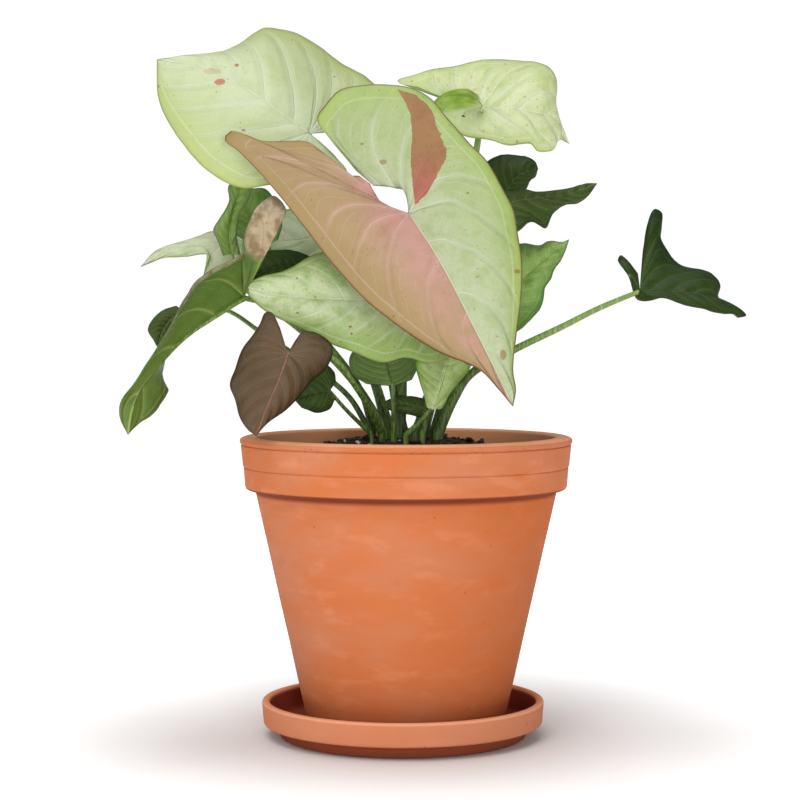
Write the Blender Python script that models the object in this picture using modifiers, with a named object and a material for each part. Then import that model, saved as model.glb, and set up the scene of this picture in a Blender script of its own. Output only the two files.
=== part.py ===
# Arrowhead plant in a terracotta pot that stands on a saucer.
# Lengths are metres, Z is up, the saucer rests on Z = 0 and the pot's axis is X = Y = 0.

import math

import bmesh
import bpy
from mathutils import Vector

MM = 0.001
GAP = 0.3 * MM

# Saucer
SAUCER_RADIUS = 70.6 * MM
SAUCER_ASIDE = -1.5 * MM
SAUCER_HEIGHT = 18.0 * MM
SAUCER_WALL = 4.0 * MM
SAUCER_FLOOR = 5.5 * MM
SAUCER_EDGE = 1.2 * MM
SAUCER_FOOT_RADIUS = 61.5 * MM
SAUCER_STEP_HEIGHT = 6.0 * MM

# Pot
POT_BOTTOM = SAUCER_FLOOR + GAP
POT_BASE_RADIUS = 48.9 * MM
POT_BODY_TOP_RADIUS = 75.3 * MM
POT_RIM_RADIUS = 83.0 * MM
POT_MOUTH_RADIUS = POT_RIM_RADIUS - 8.5 * MM
POT_TOP = 149.1 * MM
POT_RIM_BOTTOM = 122.8 * MM
POT_BEAD_HEIGHT = 3.8 * MM
POT_GROOVE_HEIGHT = 134.0 * MM
POT_SHOULDER_LOW = POT_RIM_BOTTOM - 2.0 * MM
POT_SHOULDER_HIGH = POT_RIM_BOTTOM + 6.0 * MM
POT_WALL = 6.5 * MM
POT_FLOOR = 8.0 * MM
DRAIN_RADIUS = 8.0 * MM
ROUND_STEPS = 48

# Soil
SOIL_EDGE_HEIGHT = 138.5 * MM
SOIL_MOUND_HEIGHT = 8.5 * MM
SOIL_MOUND_RADIUS = 46.0 * MM
SOIL_LUMP = 1.1 * MM
LUMPS_ACROSS = 310.0
LUMPS_DEEP = 270.0
SOIL_RINGS = 5
SOIL_SPOKES = 24
HOLE_SIDES = 12
HOLE_DEPTH = 50.0 * MM

# Leaves
BLADE_THICKNESS = 0.95 * MM
FRONT_RIBS = 8
RIM_RIBS = 13
RIB_STEPS = 3
LOBE_ANGLE = math.radians(62.0)
SEARCH_STEPS = 80
OTHER_PHASE = 1.7
SINUS_TURN = 0.38
STALK_FOOT = 116.0 * MM
STALK_BEND = 151.0 * MM
STALK_SIDES = 1
STALK_STEPS = 2

# Leaf outlines are measured as they are seen from this point in front of the pot.
EYE = Vector((-3.0, -1100.0, 209.7))

# Each place is (across, up, near) in millimetres. Across and up are read in the upright
# plane through the pot's axis, near is how far in front of that plane the place really is.
# The midrib runs from the stalk to the tip. Each rim runs from the tip round the lobe and
# ends where the notch begins. A sinus is an edge of the notch, from the joint outwards.
# Root is (across, near) in the soil. Radii are those of the
# stalk at its foot and at its top. Wave is (height in mm, number of waves).
LEAVES = {
    # The big front leaf.
    "leaf_front": {
        "upper_seen": True,
        "midrib": [
            (1.5, 260, 43), (17, 236, 62), (34.5, 202, 76), (53.5, 163.5, 84),
        ],
        "rim_a": [
            (45.5, 173, 80), (37, 181.5, 76), (17, 191, 70), (-3, 203, 64), (-19, 215, 60),
            (-34, 232, 57), (-48, 249.5, 54), (-59, 263, 52), (-72, 279, 50), (-84, 292, 46),
            (-91, 297.5, 43), (-87, 301.5, 42), (-71, 296, 43), (-49, 296, 44), (-41, 289, 43),
            (-35, 283, 42), (-30, 279.5, 42), (-23.5, 279, 41),
        ],
        "rim_b": [
            (55, 172, 82), (53.5, 182, 80), (55.5, 202, 76), (57.5, 217, 72), (58, 234.5, 68),
            (56, 249.5, 62), (54, 262, 58), (49.5, 271, 54), (41, 285, 50), (32, 294.5, 46),
            (20.5, 308.5, 40), (12, 318.5, 36), (2, 323, 34), (-8, 324, 32), (-20.5, 324, 32),
            (-33, 322, 33), (-40.5, 314.5, 35), (-44.5, 307.5, 37), (-38.5, 298, 37),
            (-32, 290, 36), (-25, 281.5, 36),
        ],
        "sinus_a": [
            (-4, 261.5, 43), (-11, 265, 42), (-14, 267.5, 42), (-16, 271, 41), (-18, 275, 41),
        ],
        "sinus_b": [
            (0.5, 267.5, 42), (-1.5, 272, 41), (-4.5, 272.5, 39), (-9.5, 273.5, 38),
            (-16, 274, 36),
        ],
        "stalk": [
            (16, 174.5, 1), (27.5, 197, 8), (30, 217, 18), (22, 239.5, 32),
        ],
        "root": (5, 9),
        "radii": (3.2, 1.7),
        "bulge": 5,
        "wave": (1.5, 4),
        "color": (0.55, 0.42, 0.22),
    },
    # The big pale leaf behind it, pointing left.
    "leaf_upper_left": {
        "upper_seen": True,
        "midrib": [
            (-48.5, 300, 20.5), (-68, 314, 20), (-84, 325, 14), (-100.5, 333, 8), (-124.5, 337, 2),
        ],
        "rim_a": [
            (-113, 338.5, 2), (-98, 340, -6), (-85.5, 344.5, -16), (-72, 352, -28),
            (-63, 351.5, -33), (-53, 349, -36), (-43, 344, -36), (-30.5, 334.5, -32),
            (-19, 327, -26), (-11, 318, -16), (-13, 308, -4), (-23, 302, 6),
        ],
        "rim_b": [
            (-124.5, 328, 4), (-124, 319.5, 8), (-120.5, 309.5, 13), (-113, 296, 18),
            (-103, 284.5, 22), (-93, 278, 25), (-83, 273.5, 27), (-76, 273, 27), (-65.5, 274, 26),
            (-53, 274.5, 25), (-40.5, 275.5, 24), (-31.5, 277.5, 23), (-29.5, 281.5, 23),
            (-33.5, 286.5, 22), (-37.5, 291, 22), (-43, 296, 21),
        ],
        "stalk": [
            (-6.5, 177, -18), (-10.5, 212, -16), (-20.5, 247, -6), (-35.5, 277, 8),
        ],
        "root": (-2, -19),
        "radii": (3.2, 1.6),
        "bulge": 6,
        "wave": (1.2, 3),
        "color": (0.55, 0.68, 0.35),
    },
    # The pale leaf at the top right, its tip curled back.
    "leaf_upper_right": {
        "upper_seen": True,
        "midrib": [
            (36, 311, -5), (48, 313, 2), (62, 311, 0), (75, 307.5, -10), (81.5, 295, -24),
        ],
        "rim_a": [
            (78.5, 300, -24), (75.5, 305, -23), (75.5, 314.5, -21), (76, 324.5, -20),
            (73, 330.5, -22), (66, 335, -26), (54.5, 337.5, -30), (42, 336.5, -30),
            (29.5, 335, -26), (17, 333, -20), (5, 329.5, -14), (-4, 327, -10), (-2, 325, -8),
            (6, 323.5, -6),
        ],
        "rim_b": [
            (77, 297, -22), (74.5, 293, -10), (71, 290.5, -4), (65, 290.5, 0), (62, 295.5, 4),
            (49.5, 294.5, 6), (37, 297, 6), (29.5, 299.5, 6), (23.5, 304, 4), (17, 308, 4),
            (13, 314, 9), (19.5, 320.5, 13), (30, 322.5, 15), (36, 319.5, 15),
        ],
        "stalk": [
            (13, 174.5, -17), (27, 217, -15), (31, 267, -15), (36, 297, -13),
        ],
        "root": (6, -13),
        "radii": (3, 1.5),
        "bulge": 4,
        "wave": (1.5, 4),
        "lift": 5,
        "color": (0.58, 0.7, 0.36),
    },
    # The pale green leaf under the front leaf.
    "leaf_middle": {
        "upper_seen": True,
        "midrib": [
            (-0.5, 217, 14), (-27, 216.5, 26), (-53, 218, 30), (-67, 219.5, 31), (-79, 223, 30),
        ],
        "rim_a": [
            (-78, 225.5, 29), (-72, 228.5, 28), (-58, 233, 25), (-45.5, 239.5, 20),
            (-30.5, 244.5, 14), (-13, 247, 8), (4.5, 243, 5), (12, 231, 8),
        ],
        "rim_b": [
            (-78.5, 218.5, 31), (-70.5, 212, 33), (-58, 204.5, 35), (-43, 198, 36),
            (-30.5, 192, 37), (-18, 187, 37), (-10.5, 186, 37), (-0.5, 188, 37), (11, 185, 36),
            (19.5, 187, 35), (25, 192, 30), (23, 203, 24),
        ],
        "stalk": [
            (-2, 167, -7), (-1.5, 184.5, -9), (-1, 196, -6), (-0.5, 208, 6),
        ],
        "root": (-3, -6),
        "radii": (3, 1.5),
        "bulge": 4,
        "wave": (1.2, 4),
        "color": (0.38, 0.55, 0.22),
    },
    # The long leaf at the left, folded along its midrib and seen from under.
    "leaf_left_long": {
        "upper_seen": False,
        "midrib": [
            (-81, 218.5, 17), (-95.5, 209, 24), (-108, 200.5, 30), (-118, 191, 34),
            (-125.5, 181.5, 38), (-132, 173, 40), (-136.5, 163, 42), (-139, 149.5, 42),
        ],
        "rim_a": [
            (-142.5, 156.5, 44), (-143, 162.5, 46), (-142, 167, 48), (-138, 173, 50),
            (-131.5, 182.5, 52), (-125, 190, 52), (-119.5, 199, 52), (-114.5, 213, 50),
            (-108.5, 222, 46), (-100.5, 228.5, 42), (-88, 237, 36), (-81.5, 242, 32),
            (-81.5, 248, 30), (-78, 256, 30), (-73, 264.5, 32), (-66, 269, 32), (-60, 261.5, 34),
            (-64, 254, 30),
        ],
        "rim_b": [
            (-133, 155.5, 36), (-125.5, 162, 31), (-118, 170.5, 24), (-120, 174, 18),
            (-123, 179, 12), (-117, 194.5, 2), (-108, 208, -4), (-97, 218, -6), (-87, 227, -6),
            (-79, 236, -4), (-74.5, 233, 4),
        ],
        "stalk": [
            (-27, 177, 10), (-50.5, 200, 11), (-72, 215.5, 14),
        ],
        "root": (-10, 6),
        "radii": (2.6, 1.4),
        "bulge": 3,
        "wave": (1.2, 4),
        "color": (0.1, 0.2, 0.05),
    },
    # The small bronze leaf at the left.
    "leaf_bronze": {
        "upper_seen": True,
        "midrib": [
            (-59, 190, 62.5), (-63, 178, 64), (-69.5, 163, 64), (-75, 149, 62),
        ],
        "rim_a": [
            (-79, 152, 61), (-83, 158, 59), (-85.5, 167, 56), (-88, 174.5, 54), (-85.5, 182, 54),
            (-82, 192, 55), (-76.5, 199.5, 57), (-73, 205, 58), (-70.5, 210.5, 59),
            (-67, 210.5, 60), (-63, 203, 61),
        ],
        "rim_b": [
            (-69, 155.5, 61), (-60.5, 161.5, 58), (-53, 169, 56), (-47, 176.5, 54),
            (-40.5, 182, 53), (-37, 189, 54), (-37.5, 195, 56), (-45, 200.5, 58), (-51.5, 201, 59),
            (-55, 197, 61),
        ],
        "stalk": [
            (-17.5, 161.5, 24), (-25.5, 174, 35), (-35, 186.5, 44), (-49, 192, 52),
        ],
        "root": (-12, 15),
        "radii": (2, 1.1),
        "bulge": 2.5,
        "wave": (1, 3),
        "color": (0.14, 0.09, 0.045),
    },
    # The dark leaf behind the bronze one.
    "leaf_low_left": {
        "upper_seen": True,
        "midrib": [
            (-38, 171.5, 40), (-45.5, 170.5, 43), (-55.5, 166.5, 44),
        ],
        "rim_a": [
            (-53.5, 173, 42), (-48, 181, 38), (-41, 184.5, 35), (-36, 181, 34), (-35, 176, 36),
        ],
        "rim_b": [
            (-51, 162.5, 44), (-43.5, 160.5, 43), (-38, 162.5, 41), (-35.5, 167, 40),
        ],
        "stalk": [
            (-29.5, 161.5, 33),
        ],
        "root": (-17, 24),
        "radii": (1.3, 0.9),
        "bulge": 2,
        "wave": (0.6, 3),
        "color": (0.03, 0.08, 0.02),
    },
    # The whitish leaf pointing left.
    "leaf_left_pale": {
        "upper_seen": True,
        "midrib": [
            (-40.5, 248.5, -41), (-63, 245.5, -36), (-88, 245.5, -34), (-108, 243.5, -36),
            (-120.5, 241, -38), (-132.5, 233.5, -40),
        ],
        "rim_a": [
            (-127, 239.5, -42), (-120.5, 243.5, -44), (-108, 248, -46), (-95.5, 251, -48),
            (-85.5, 254, -50), (-72, 259, -52), (-58, 262, -54), (-47, 261, -52), (-40, 255, -46),
        ],
        "rim_b": [
            (-127, 235.5, -38), (-120, 238.5, -36), (-108, 239, -32), (-97.5, 238.5, -28),
            (-100, 232, -27), (-101.5, 225, -26), (-92, 224, -26), (-83, 233, -27),
            (-72, 240, -29), (-60.5, 239.5, -31), (-51.5, 236, -33), (-44, 235, -35),
            (-39, 240, -37),
        ],
        "stalk": [
            (-15.5, 177, -36), (-30.5, 217, -40),
        ],
        "root": (-8, -30),
        "radii": (2.4, 1.3),
        "bulge": 2,
        "wave": (1.2, 3),
        "color": (0.5, 0.6, 0.4),
    },
    # The dark curled leaf at the left.
    "leaf_left_curled": {
        "upper_seen": True,
        "midrib": [
            (-87, 240, -17), (-88.5, 249.5, -15), (-87, 262, -13), (-80, 278, -14),
        ],
        "rim_a": [
            (-84, 278, -14), (-88.5, 274, -13), (-88.5, 267, -11), (-93, 257.5, -10),
            (-96.5, 252, -11), (-94, 246, -13), (-91.5, 239, -16),
        ],
        "rim_b": [
            (-76, 275, -15), (-78.5, 268, -15), (-82, 262, -14), (-84.5, 253, -14),
            (-84, 245, -16), (-82.5, 239, -17),
        ],
        "stalk": [
            (-25.5, 174.5, -13), (-47, 199.5, -16), (-72, 217, -19), (-83, 224.5, -21),
        ],
        "root": (-12, -7),
        "radii": (1.9, 1),
        "bulge": 2,
        "wave": (0.8, 3),
        "color": (0.04, 0.1, 0.03),
    },
    # The mid green leaf behind it.
    "leaf_back_left": {
        "upper_seen": True,
        "midrib": [
            (-69, 244, -26), (-77, 257, -25), (-85, 271, -26),
        ],
        "rim_a": [
            (-86, 266, -25), (-86.5, 258, -24), (-86, 251, -24), (-81.5, 247, -25),
            (-74.5, 243.5, -26),
        ],
        "rim_b": [
            (-78, 272.5, -28), (-70, 272, -30), (-64, 264, -31), (-62, 254, -30), (-64, 247, -28),
        ],
        "stalk": [
            (-24, 174.5, -27), (-44.5, 202, -30), (-58, 222, -29),
        ],
        "root": (-17, -22),
        "radii": (1.9, 1.1),
        "bulge": 2.5,
        "wave": (0.8, 3),
        "color": (0.1, 0.22, 0.06),
    },
    # The shadowed dark leaf behind the middle leaf.
    "leaf_dark_left": {
        "upper_seen": True,
        "midrib": [
            (-47, 233, -14), (-63, 233.5, -10), (-80, 227, -8),
        ],
        "rim_a": [
            (-78, 234, -9), (-74, 240, -11), (-64, 242, -14), (-54, 241, -17), (-47.5, 238.5, -17),
        ],
        "rim_b": [
            (-75, 223.5, -6), (-65, 224, -5), (-55, 226, -7), (-48, 228, -10),
        ],
        "stalk": [
            (-18, 179.5, -20), (-36, 216, -21),
        ],
        "root": (-10, -15),
        "radii": (1.9, 1.1),
        "bulge": 2,
        "wave": (0.6, 3),
        "color": (0.02, 0.04, 0.02),
    },
    # The small dark leaf rolled up at the far left.
    "leaf_far_left": {
        "upper_seen": True,
        "midrib": [
            (-111, 211, -14), (-117, 208, -10), (-121.5, 202, -6), (-124.5, 193.5, -5),
        ],
        "rim_a": [
            (-126.5, 197, -5), (-129, 202.5, -5), (-126, 208, -8), (-121, 212, -12),
            (-115, 214, -15),
        ],
        "rim_b": [
            (-121.5, 197, -5), (-119, 200.5, -7), (-115.5, 202.5, -10), (-110, 205, -13),
            (-107, 208.5, -14),
        ],
        "stalk": [
            (-29, 169, 2), (-50.5, 186, 6), (-73, 201, 4), (-88, 211, -12), (-100.5, 214, -16),
        ],
        "root": (-18, 0),
        "radii": (1.6, 1),
        "bulge": 1,
        "wave": (0.5, 3),
        "color": (0.05, 0.09, 0.04),
    },
    # The young bright leaf standing in the clump.
    "leaf_young": {
        "upper_seen": True,
        "midrib": [
            (12.5, 162, 33), (17.5, 174.5, 30), (20.5, 186, 26), (23, 197.5, 18),
        ],
        "rim_a": [
            (19, 196.5, 18), (12, 194.5, 19), (7, 191, 21), (5, 185, 24), (6.5, 177, 28),
            (9, 169, 31), (10, 163.5, 32),
        ],
        "rim_b": [
            (28, 196, 18), (33.5, 190.5, 19), (32.5, 184, 22), (28, 177.5, 26), (22, 170, 30),
            (18, 162.5, 31),
        ],
        "stalk": [
            (4, 153, 34),
        ],
        "root": (0, 33),
        "radii": (1.6, 1.2),
        "bulge": -3,
        "wave": (0.8, 3),
        "color": (0.3, 0.48, 0.16),
    },
    # A small dark leaf low in the clump.
    "leaf_inner_left": {
        "upper_seen": False,
        "midrib": [
            (-6.5, 174, 30), (-9, 182, 20), (-11, 195, -2),
        ],
        "rim_a": [
            (-19, 196, -2), (-27, 191, 3), (-28.5, 185, 8), (-26, 179, 15), (-20, 175, 24),
        ],
        "rim_b": [
            (-3, 195, -3), (4, 191, 0), (6.5, 185, 8), (3, 177, 20),
        ],
        "stalk": [],
        "root": (-6, 25),
        "radii": (1.5, 1),
        "bulge": 2,
        "wave": (0.6, 3),
        "color": (0.05, 0.11, 0.03),
    },
    # Another small dark leaf low in the clump.
    "leaf_inner_right": {
        "upper_seen": True,
        "midrib": [
            (9, 162.5, 20), (1, 164, 22), (-12, 164, 20),
        ],
        "rim_a": [
            (-9, 167, 18), (-3, 169, 16), (4, 168.5, 15), (10, 167.5, 16),
        ],
        "rim_b": [
            (-7, 161.5, 22), (-0.5, 160, 23), (5.5, 158.5, 21), (11, 158, 20),
        ],
        "stalk": [
            (9.5, 155, 20),
        ],
        "root": (8, 21),
        "radii": (1.5, 1),
        "bulge": 1.5,
        "wave": (0.4, 3),
        "color": (0.08, 0.16, 0.05),
    },
    # The dark leaf under the upper right leaf.
    "leaf_right_dark": {
        "upper_seen": True,
        "midrib": [
            (47, 263.5, -42), (51, 272, -40), (57, 279.5, -41), (66, 282.5, -46),
        ],
        "rim_a": [
            (64.5, 286, -48), (59, 289, -50), (52, 289.5, -52), (45.5, 288.5, -53),
            (39, 285.5, -53), (35, 278, -50), (39, 269, -46),
        ],
        "rim_b": [
            (65, 279.5, -45), (62.5, 276.5, -43), (59.5, 272, -41), (55.5, 267, -40),
            (51, 262.5, -40),
        ],
        "stalk": [
            (17, 177, -34), (32, 217, -40), (40, 239.5, -44),
        ],
        "root": (10, -26),
        "radii": (2.2, 1.2),
        "bulge": 2,
        "wave": (0.8, 3),
        "color": (0.03, 0.08, 0.015),
    },
    # The grey green leaf pointing right.
    "leaf_right_pointed": {
        "upper_seen": True,
        "midrib": [
            (46, 262, -8), (55.5, 266, -8), (65.5, 267.5, -14), (82, 270, -26), (95.5, 275, -34),
        ],
        "rim_a": [
            (91.5, 275, -35), (82, 273, -33), (72, 270.5, -28), (65, 271, -24), (61, 272, -20),
            (53, 271, -18), (47, 271, -16), (44, 267, -12),
        ],
        "rim_b": [
            (91, 269, -30), (85.5, 265.5, -26), (80, 264, -22), (73.5, 260, -14), (70, 253, -8),
            (66, 254.5, -4), (62, 255.5, 0), (57, 252, 4), (51, 249, 4), (45.5, 251, 0),
            (44, 256, -4),
        ],
        "stalk": [
            (21, 174.5, -7), (34, 202, -7), (43, 229.5, -6), (47, 251, -12),
        ],
        "root": (14, -4),
        "radii": (2.4, 1.3),
        "bulge": 2,
        "wave": (0.8, 3),
        "color": (0.06, 0.11, 0.045),
    },
    # The mid green leaf at the right.
    "leaf_right_mid": {
        "upper_seen": True,
        "midrib": [
            (47, 217, -6), (58, 227, -4), (69.5, 237, -8), (81.5, 247, -16),
        ],
        "rim_a": [
            (78, 245.5, -16), (71, 246.5, -17), (66.5, 244.5, -18), (56.5, 244.5, -18),
            (49.5, 242, -18), (42, 236, -16), (41, 225, -12),
        ],
        "rim_b": [
            (79.5, 241, -14), (74.5, 232.5, -6), (72.5, 226.5, -2), (69.5, 223, 2),
            (68.5, 217.5, 4), (66.5, 211.5, 6), (62.5, 206.5, 8), (56, 201.5, 8), (48.5, 200, 4),
            (43.5, 207, -1),
        ],
        "stalk": [
            (26, 177, -15), (39, 198, -14), (46, 211, -12),
        ],
        "root": (16, -15),
        "radii": (2.2, 1.2),
        "bulge": 2.5,
        "wave": (1, 3),
        "color": (0.16, 0.32, 0.08),
    },
    # The folded dark leaf that reaches right on a long stalk.
    "leaf_reaching": {
        "upper_seen": True,
        "midrib": [
            (117, 222, 11), (130, 221, 12), (142.5, 220, 13), (155, 216.5, 12), (166, 208, 10),
        ],
        "rim_a": [
            (170, 209, 6), (164.5, 214, 5), (156.5, 218.5, 3), (157, 224, -2), (152.5, 229.5, -6),
            (146.5, 232.5, -8), (137, 235, -8), (131.5, 239.5, -8), (127.5, 246.5, -8),
            (128, 254, -11), (128, 260.5, -14), (124, 262, -14), (121, 256, -10), (118.5, 242, -2),
        ],
        "rim_b": [
            (163.5, 210, 16), (158, 210.5, 19), (149, 211.5, 22), (140.5, 214, 22),
            (133.5, 217, 21), (128, 217.5, 19), (122, 216, 16), (116, 217.5, 10), (111, 228.5, 5),
            (106, 236.5, 0), (107.5, 239.5, -1), (111, 236.5, 0), (116, 230, 5),
        ],
        "stalk": [
            (23.5, 166.5, 12), (32.5, 180, 11), (54, 192, 10), (77, 203, 10), (97, 213, 10),
        ],
        "root": (16, 11),
        "radii": (2.8, 1.2),
        "bulge": 2,
        "wave": (1, 4),
        "color": (0.04, 0.09, 0.025),
    },
}


def clear_scene():
    for old in list(bpy.data.objects):
        bpy.data.objects.remove(old, do_unlink=True)


def make_material(name, color, roughness):
    material = bpy.data.materials.new(name)
    material.use_nodes = True
    shader = material.node_tree.nodes["Principled BSDF"]
    shader.inputs["Base Color"].default_value = (color[0], color[1], color[2], 1.0)
    shader.inputs["Roughness"].default_value = roughness
    return material


def add_object(name, mesh, material, collection):
    body = bpy.data.objects.new(name, mesh)
    body.data.materials.clear()
    body.data.materials.append(material)
    collection.objects.link(body)
    return body


def fixed_mesh(body):
    """Return the mesh of an object with its modifiers worked in, at its own place."""
    graph = bpy.context.evaluated_depsgraph_get()
    graph.update()
    mesh = bpy.data.meshes.new_from_object(body.evaluated_get(graph))
    mesh.transform(body.matrix_world)
    return mesh


def turned(name, profile, material, collection):
    """Turn a (radius, height) outline about the upright axis.

    An outline that starts and ends on the axis stays open there, any other is closed.
    """
    mesh = bpy.data.meshes.new(name)
    points = [(radius, 0.0, height) for radius, height in profile]
    count = len(points)
    edges = [(index, index + 1) for index in range(count - 1)]
    if profile[0][0] > 0.0:
        edges.append((count - 1, 0))
    mesh.from_pydata(points, edges, [])
    body = add_object(name, mesh, material, collection)
    screw = body.modifiers.new("turn", "SCREW")
    screw.axis = "Z"
    screw.steps = ROUND_STEPS
    screw.render_steps = ROUND_STEPS
    screw.use_merge_vertices = True
    screw.merge_threshold = 0.00001
    screw.use_smooth_shade = True
    return body


def make_saucer(material, collection):
    """A round dish with an upright rim, on a foot that is stepped in."""
    inner = SAUCER_RADIUS - SAUCER_WALL
    profile = [
        (0.0, SAUCER_FLOOR),
        (inner - 4.0 * MM, SAUCER_FLOOR),
        (inner - 1.2 * MM, SAUCER_FLOOR + 1.6 * MM),
        (inner, SAUCER_HEIGHT - SAUCER_EDGE),
        (inner + SAUCER_EDGE, SAUCER_HEIGHT),
        (SAUCER_RADIUS - SAUCER_EDGE, SAUCER_HEIGHT),
        (SAUCER_RADIUS, SAUCER_HEIGHT - SAUCER_EDGE),
        (SAUCER_RADIUS - 1.0 * MM, SAUCER_STEP_HEIGHT + 1.0 * MM),
        (SAUCER_RADIUS - 2.2 * MM, SAUCER_STEP_HEIGHT),
        (SAUCER_FOOT_RADIUS + 2.0 * MM, SAUCER_STEP_HEIGHT - 1.0 * MM),
        (SAUCER_FOOT_RADIUS, 1.0 * MM),
        (SAUCER_FOOT_RADIUS - 1.0 * MM, 0.0),
        (0.0, 0.0),
    ]
    saucer = turned("saucer", profile, material, collection)
    saucer.location.x = SAUCER_ASIDE
    return saucer


def body_radius(height):
    """Outer radius of the tapered part of the pot at a height."""
    share = (height - POT_BOTTOM) / (POT_RIM_BOTTOM - POT_BOTTOM)
    return POT_BASE_RADIUS + (POT_BODY_TOP_RADIUS - POT_BASE_RADIUS) * share


def inner_radius(height):
    """Inner radius of the tapered part of the pot at a height."""
    return body_radius(height) - POT_WALL


def make_pot(material, collection):
    """A tapered pot with a hole in its floor and a broad rim of two bands under a bead."""
    bead = POT_TOP - POT_BEAD_HEIGHT
    floor = POT_BOTTOM + POT_FLOOR
    profile = [
        (POT_MOUTH_RADIUS + 1.5 * MM, POT_TOP - 0.4 * MM),
        (POT_RIM_RADIUS - 3.6 * MM, POT_TOP),
        (POT_RIM_RADIUS - 1.0 * MM, POT_TOP - 0.8 * MM),
        (POT_RIM_RADIUS, POT_TOP - 2.0 * MM),
        (POT_RIM_RADIUS - 0.2 * MM, bead + 0.4 * MM),
        (POT_RIM_RADIUS - 1.2 * MM, bead),
        (POT_RIM_RADIUS - 0.7 * MM, bead - 0.5 * MM),
        (POT_RIM_RADIUS - 1.7 * MM, POT_GROOVE_HEIGHT + 0.6 * MM),
        (POT_RIM_RADIUS - 2.4 * MM, POT_GROOVE_HEIGHT),
        (POT_RIM_RADIUS - 2.1 * MM, POT_GROOVE_HEIGHT - 0.7 * MM),
        (POT_RIM_RADIUS - 2.9 * MM, POT_RIM_BOTTOM + 1.6 * MM),
        (POT_RIM_RADIUS - 4.2 * MM, POT_RIM_BOTTOM),
        (POT_BODY_TOP_RADIUS, POT_RIM_BOTTOM - 0.6 * MM),
        (POT_BASE_RADIUS + 0.5 * MM, POT_BOTTOM + 1.5 * MM),
        (POT_BASE_RADIUS - 0.8 * MM, POT_BOTTOM),
        (DRAIN_RADIUS, POT_BOTTOM),
        (DRAIN_RADIUS, floor),
        (inner_radius(floor) - 3.0 * MM, floor),
        (inner_radius(floor) + 0.6 * MM, floor + 3.0 * MM),
        (inner_radius(POT_RIM_BOTTOM), POT_SHOULDER_LOW),
        (POT_MOUTH_RADIUS - 0.8 * MM, POT_SHOULDER_HIGH),
        (POT_MOUTH_RADIUS, POT_TOP - 2.0 * MM),
    ]
    return turned("pot", profile, material, collection)


def soil_height(across, depth):
    """Height of the top of the soil: a low mound with small lumps."""
    radius = math.hypot(across, depth)
    mound = SOIL_MOUND_HEIGHT * math.exp(-((radius / SOIL_MOUND_RADIUS) ** 4))
    lumps = math.sin(across * LUMPS_ACROSS + 1.3) * math.cos(depth * LUMPS_DEEP - 0.6)
    lumps += 0.6 * math.sin(across * LUMPS_ACROSS * 1.8 - depth * LUMPS_DEEP * 1.6)
    return SOIL_EDGE_HEIGHT + mound + SOIL_LUMP * lumps


def make_soil(material, collection, holes):
    """Fill the pot up to the mound, with a plain upright hole for each stalk.

    Each hole is (across, depth, radius).
    """
    floor = POT_BOTTOM + POT_FLOOR + GAP
    shell = bmesh.new()
    sides = [
        (inner_radius(floor) - 4.0 * MM, floor),
        (inner_radius(floor) + 0.2 * MM, floor + 3.6 * MM),
        (inner_radius(POT_RIM_BOTTOM) - 0.6 * MM, POT_SHOULDER_LOW),
        (POT_MOUTH_RADIUS - 1.6 * MM, POT_SHOULDER_HIGH),
    ]
    rings = []
    for radius, height in sides:
        rings.append([ring_vertex(shell, radius, step, height) for step in range(SOIL_SPOKES)])
    top_radius = POT_MOUTH_RADIUS - 1.5 * MM
    for ring in range(SOIL_RINGS):
        radius = top_radius * (1.0 - ring / SOIL_RINGS)
        rings.append([ring_vertex(shell, radius, step, None) for step in range(SOIL_SPOKES)])
    for lower, upper in zip(rings, rings[1:]):
        for step in range(SOIL_SPOKES):
            after = (step + 1) % SOIL_SPOKES
            shell.faces.new((lower[step], lower[after], upper[after], upper[step]))
    middle = shell.verts.new((0.0, 0.0, soil_height(0.0, 0.0)))
    for step in range(SOIL_SPOKES):
        shell.faces.new((rings[-1][step], rings[-1][(step + 1) % SOIL_SPOKES], middle))
    shell.faces.new(list(reversed(rings[0])))
    bmesh.ops.triangulate(shell, faces=shell.faces[:])
    bmesh.ops.recalc_face_normals(shell, faces=shell.faces[:])
    mesh = bpy.data.meshes.new("soil")
    shell.to_mesh(mesh)
    shell.free()
    soil = add_object("soil", mesh, material, collection)
    cutters = bpy.data.collections.new("soil_cutters")
    bpy.context.scene.collection.children.link(cutters)
    for index, (across, depth, radius) in enumerate(holes):
        bpy.ops.mesh.primitive_cylinder_add(
            vertices=HOLE_SIDES, radius=radius * 1.04 + GAP, depth=HOLE_DEPTH,
            location=(across, depth, STALK_FOOT - GAP + 0.5 * HOLE_DEPTH))
        cutter = bpy.context.object
        cutter.name = "soil_hole_%02d" % index
        for owner in list(cutter.users_collection):
            owner.objects.unlink(cutter)
        cutters.objects.link(cutter)
        cutter.hide_render = True
        cutter.display_type = "WIRE"
    holes_cut = soil.modifiers.new("stalk holes", "BOOLEAN")
    holes_cut.operation = "DIFFERENCE"
    holes_cut.operand_type = "COLLECTION"
    holes_cut.collection = cutters
    holes_cut.solver = "MANIFOLD"
    return soil


def ring_vertex(shell, radius, step, height):
    """Add one place of a soil ring. A height of None lays it on the top of the soil."""
    angle = 2.0 * math.pi * step / SOIL_SPOKES
    across = radius * math.cos(angle)
    depth = radius * math.sin(angle)
    if height is None:
        height = soil_height(across, depth)
    return shell.verts.new((across, depth, height))


def sighted(place):
    """Turn (across, up, near) as seen from the eye into a real place."""
    across, up, near = place
    reach = (-EYE.y - near) / -EYE.y
    x = EYE.x + (across - EYE.x) * reach
    z = EYE.z + (up - EYE.z) * reach
    return Vector((x, -near, z)) * MM


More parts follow.
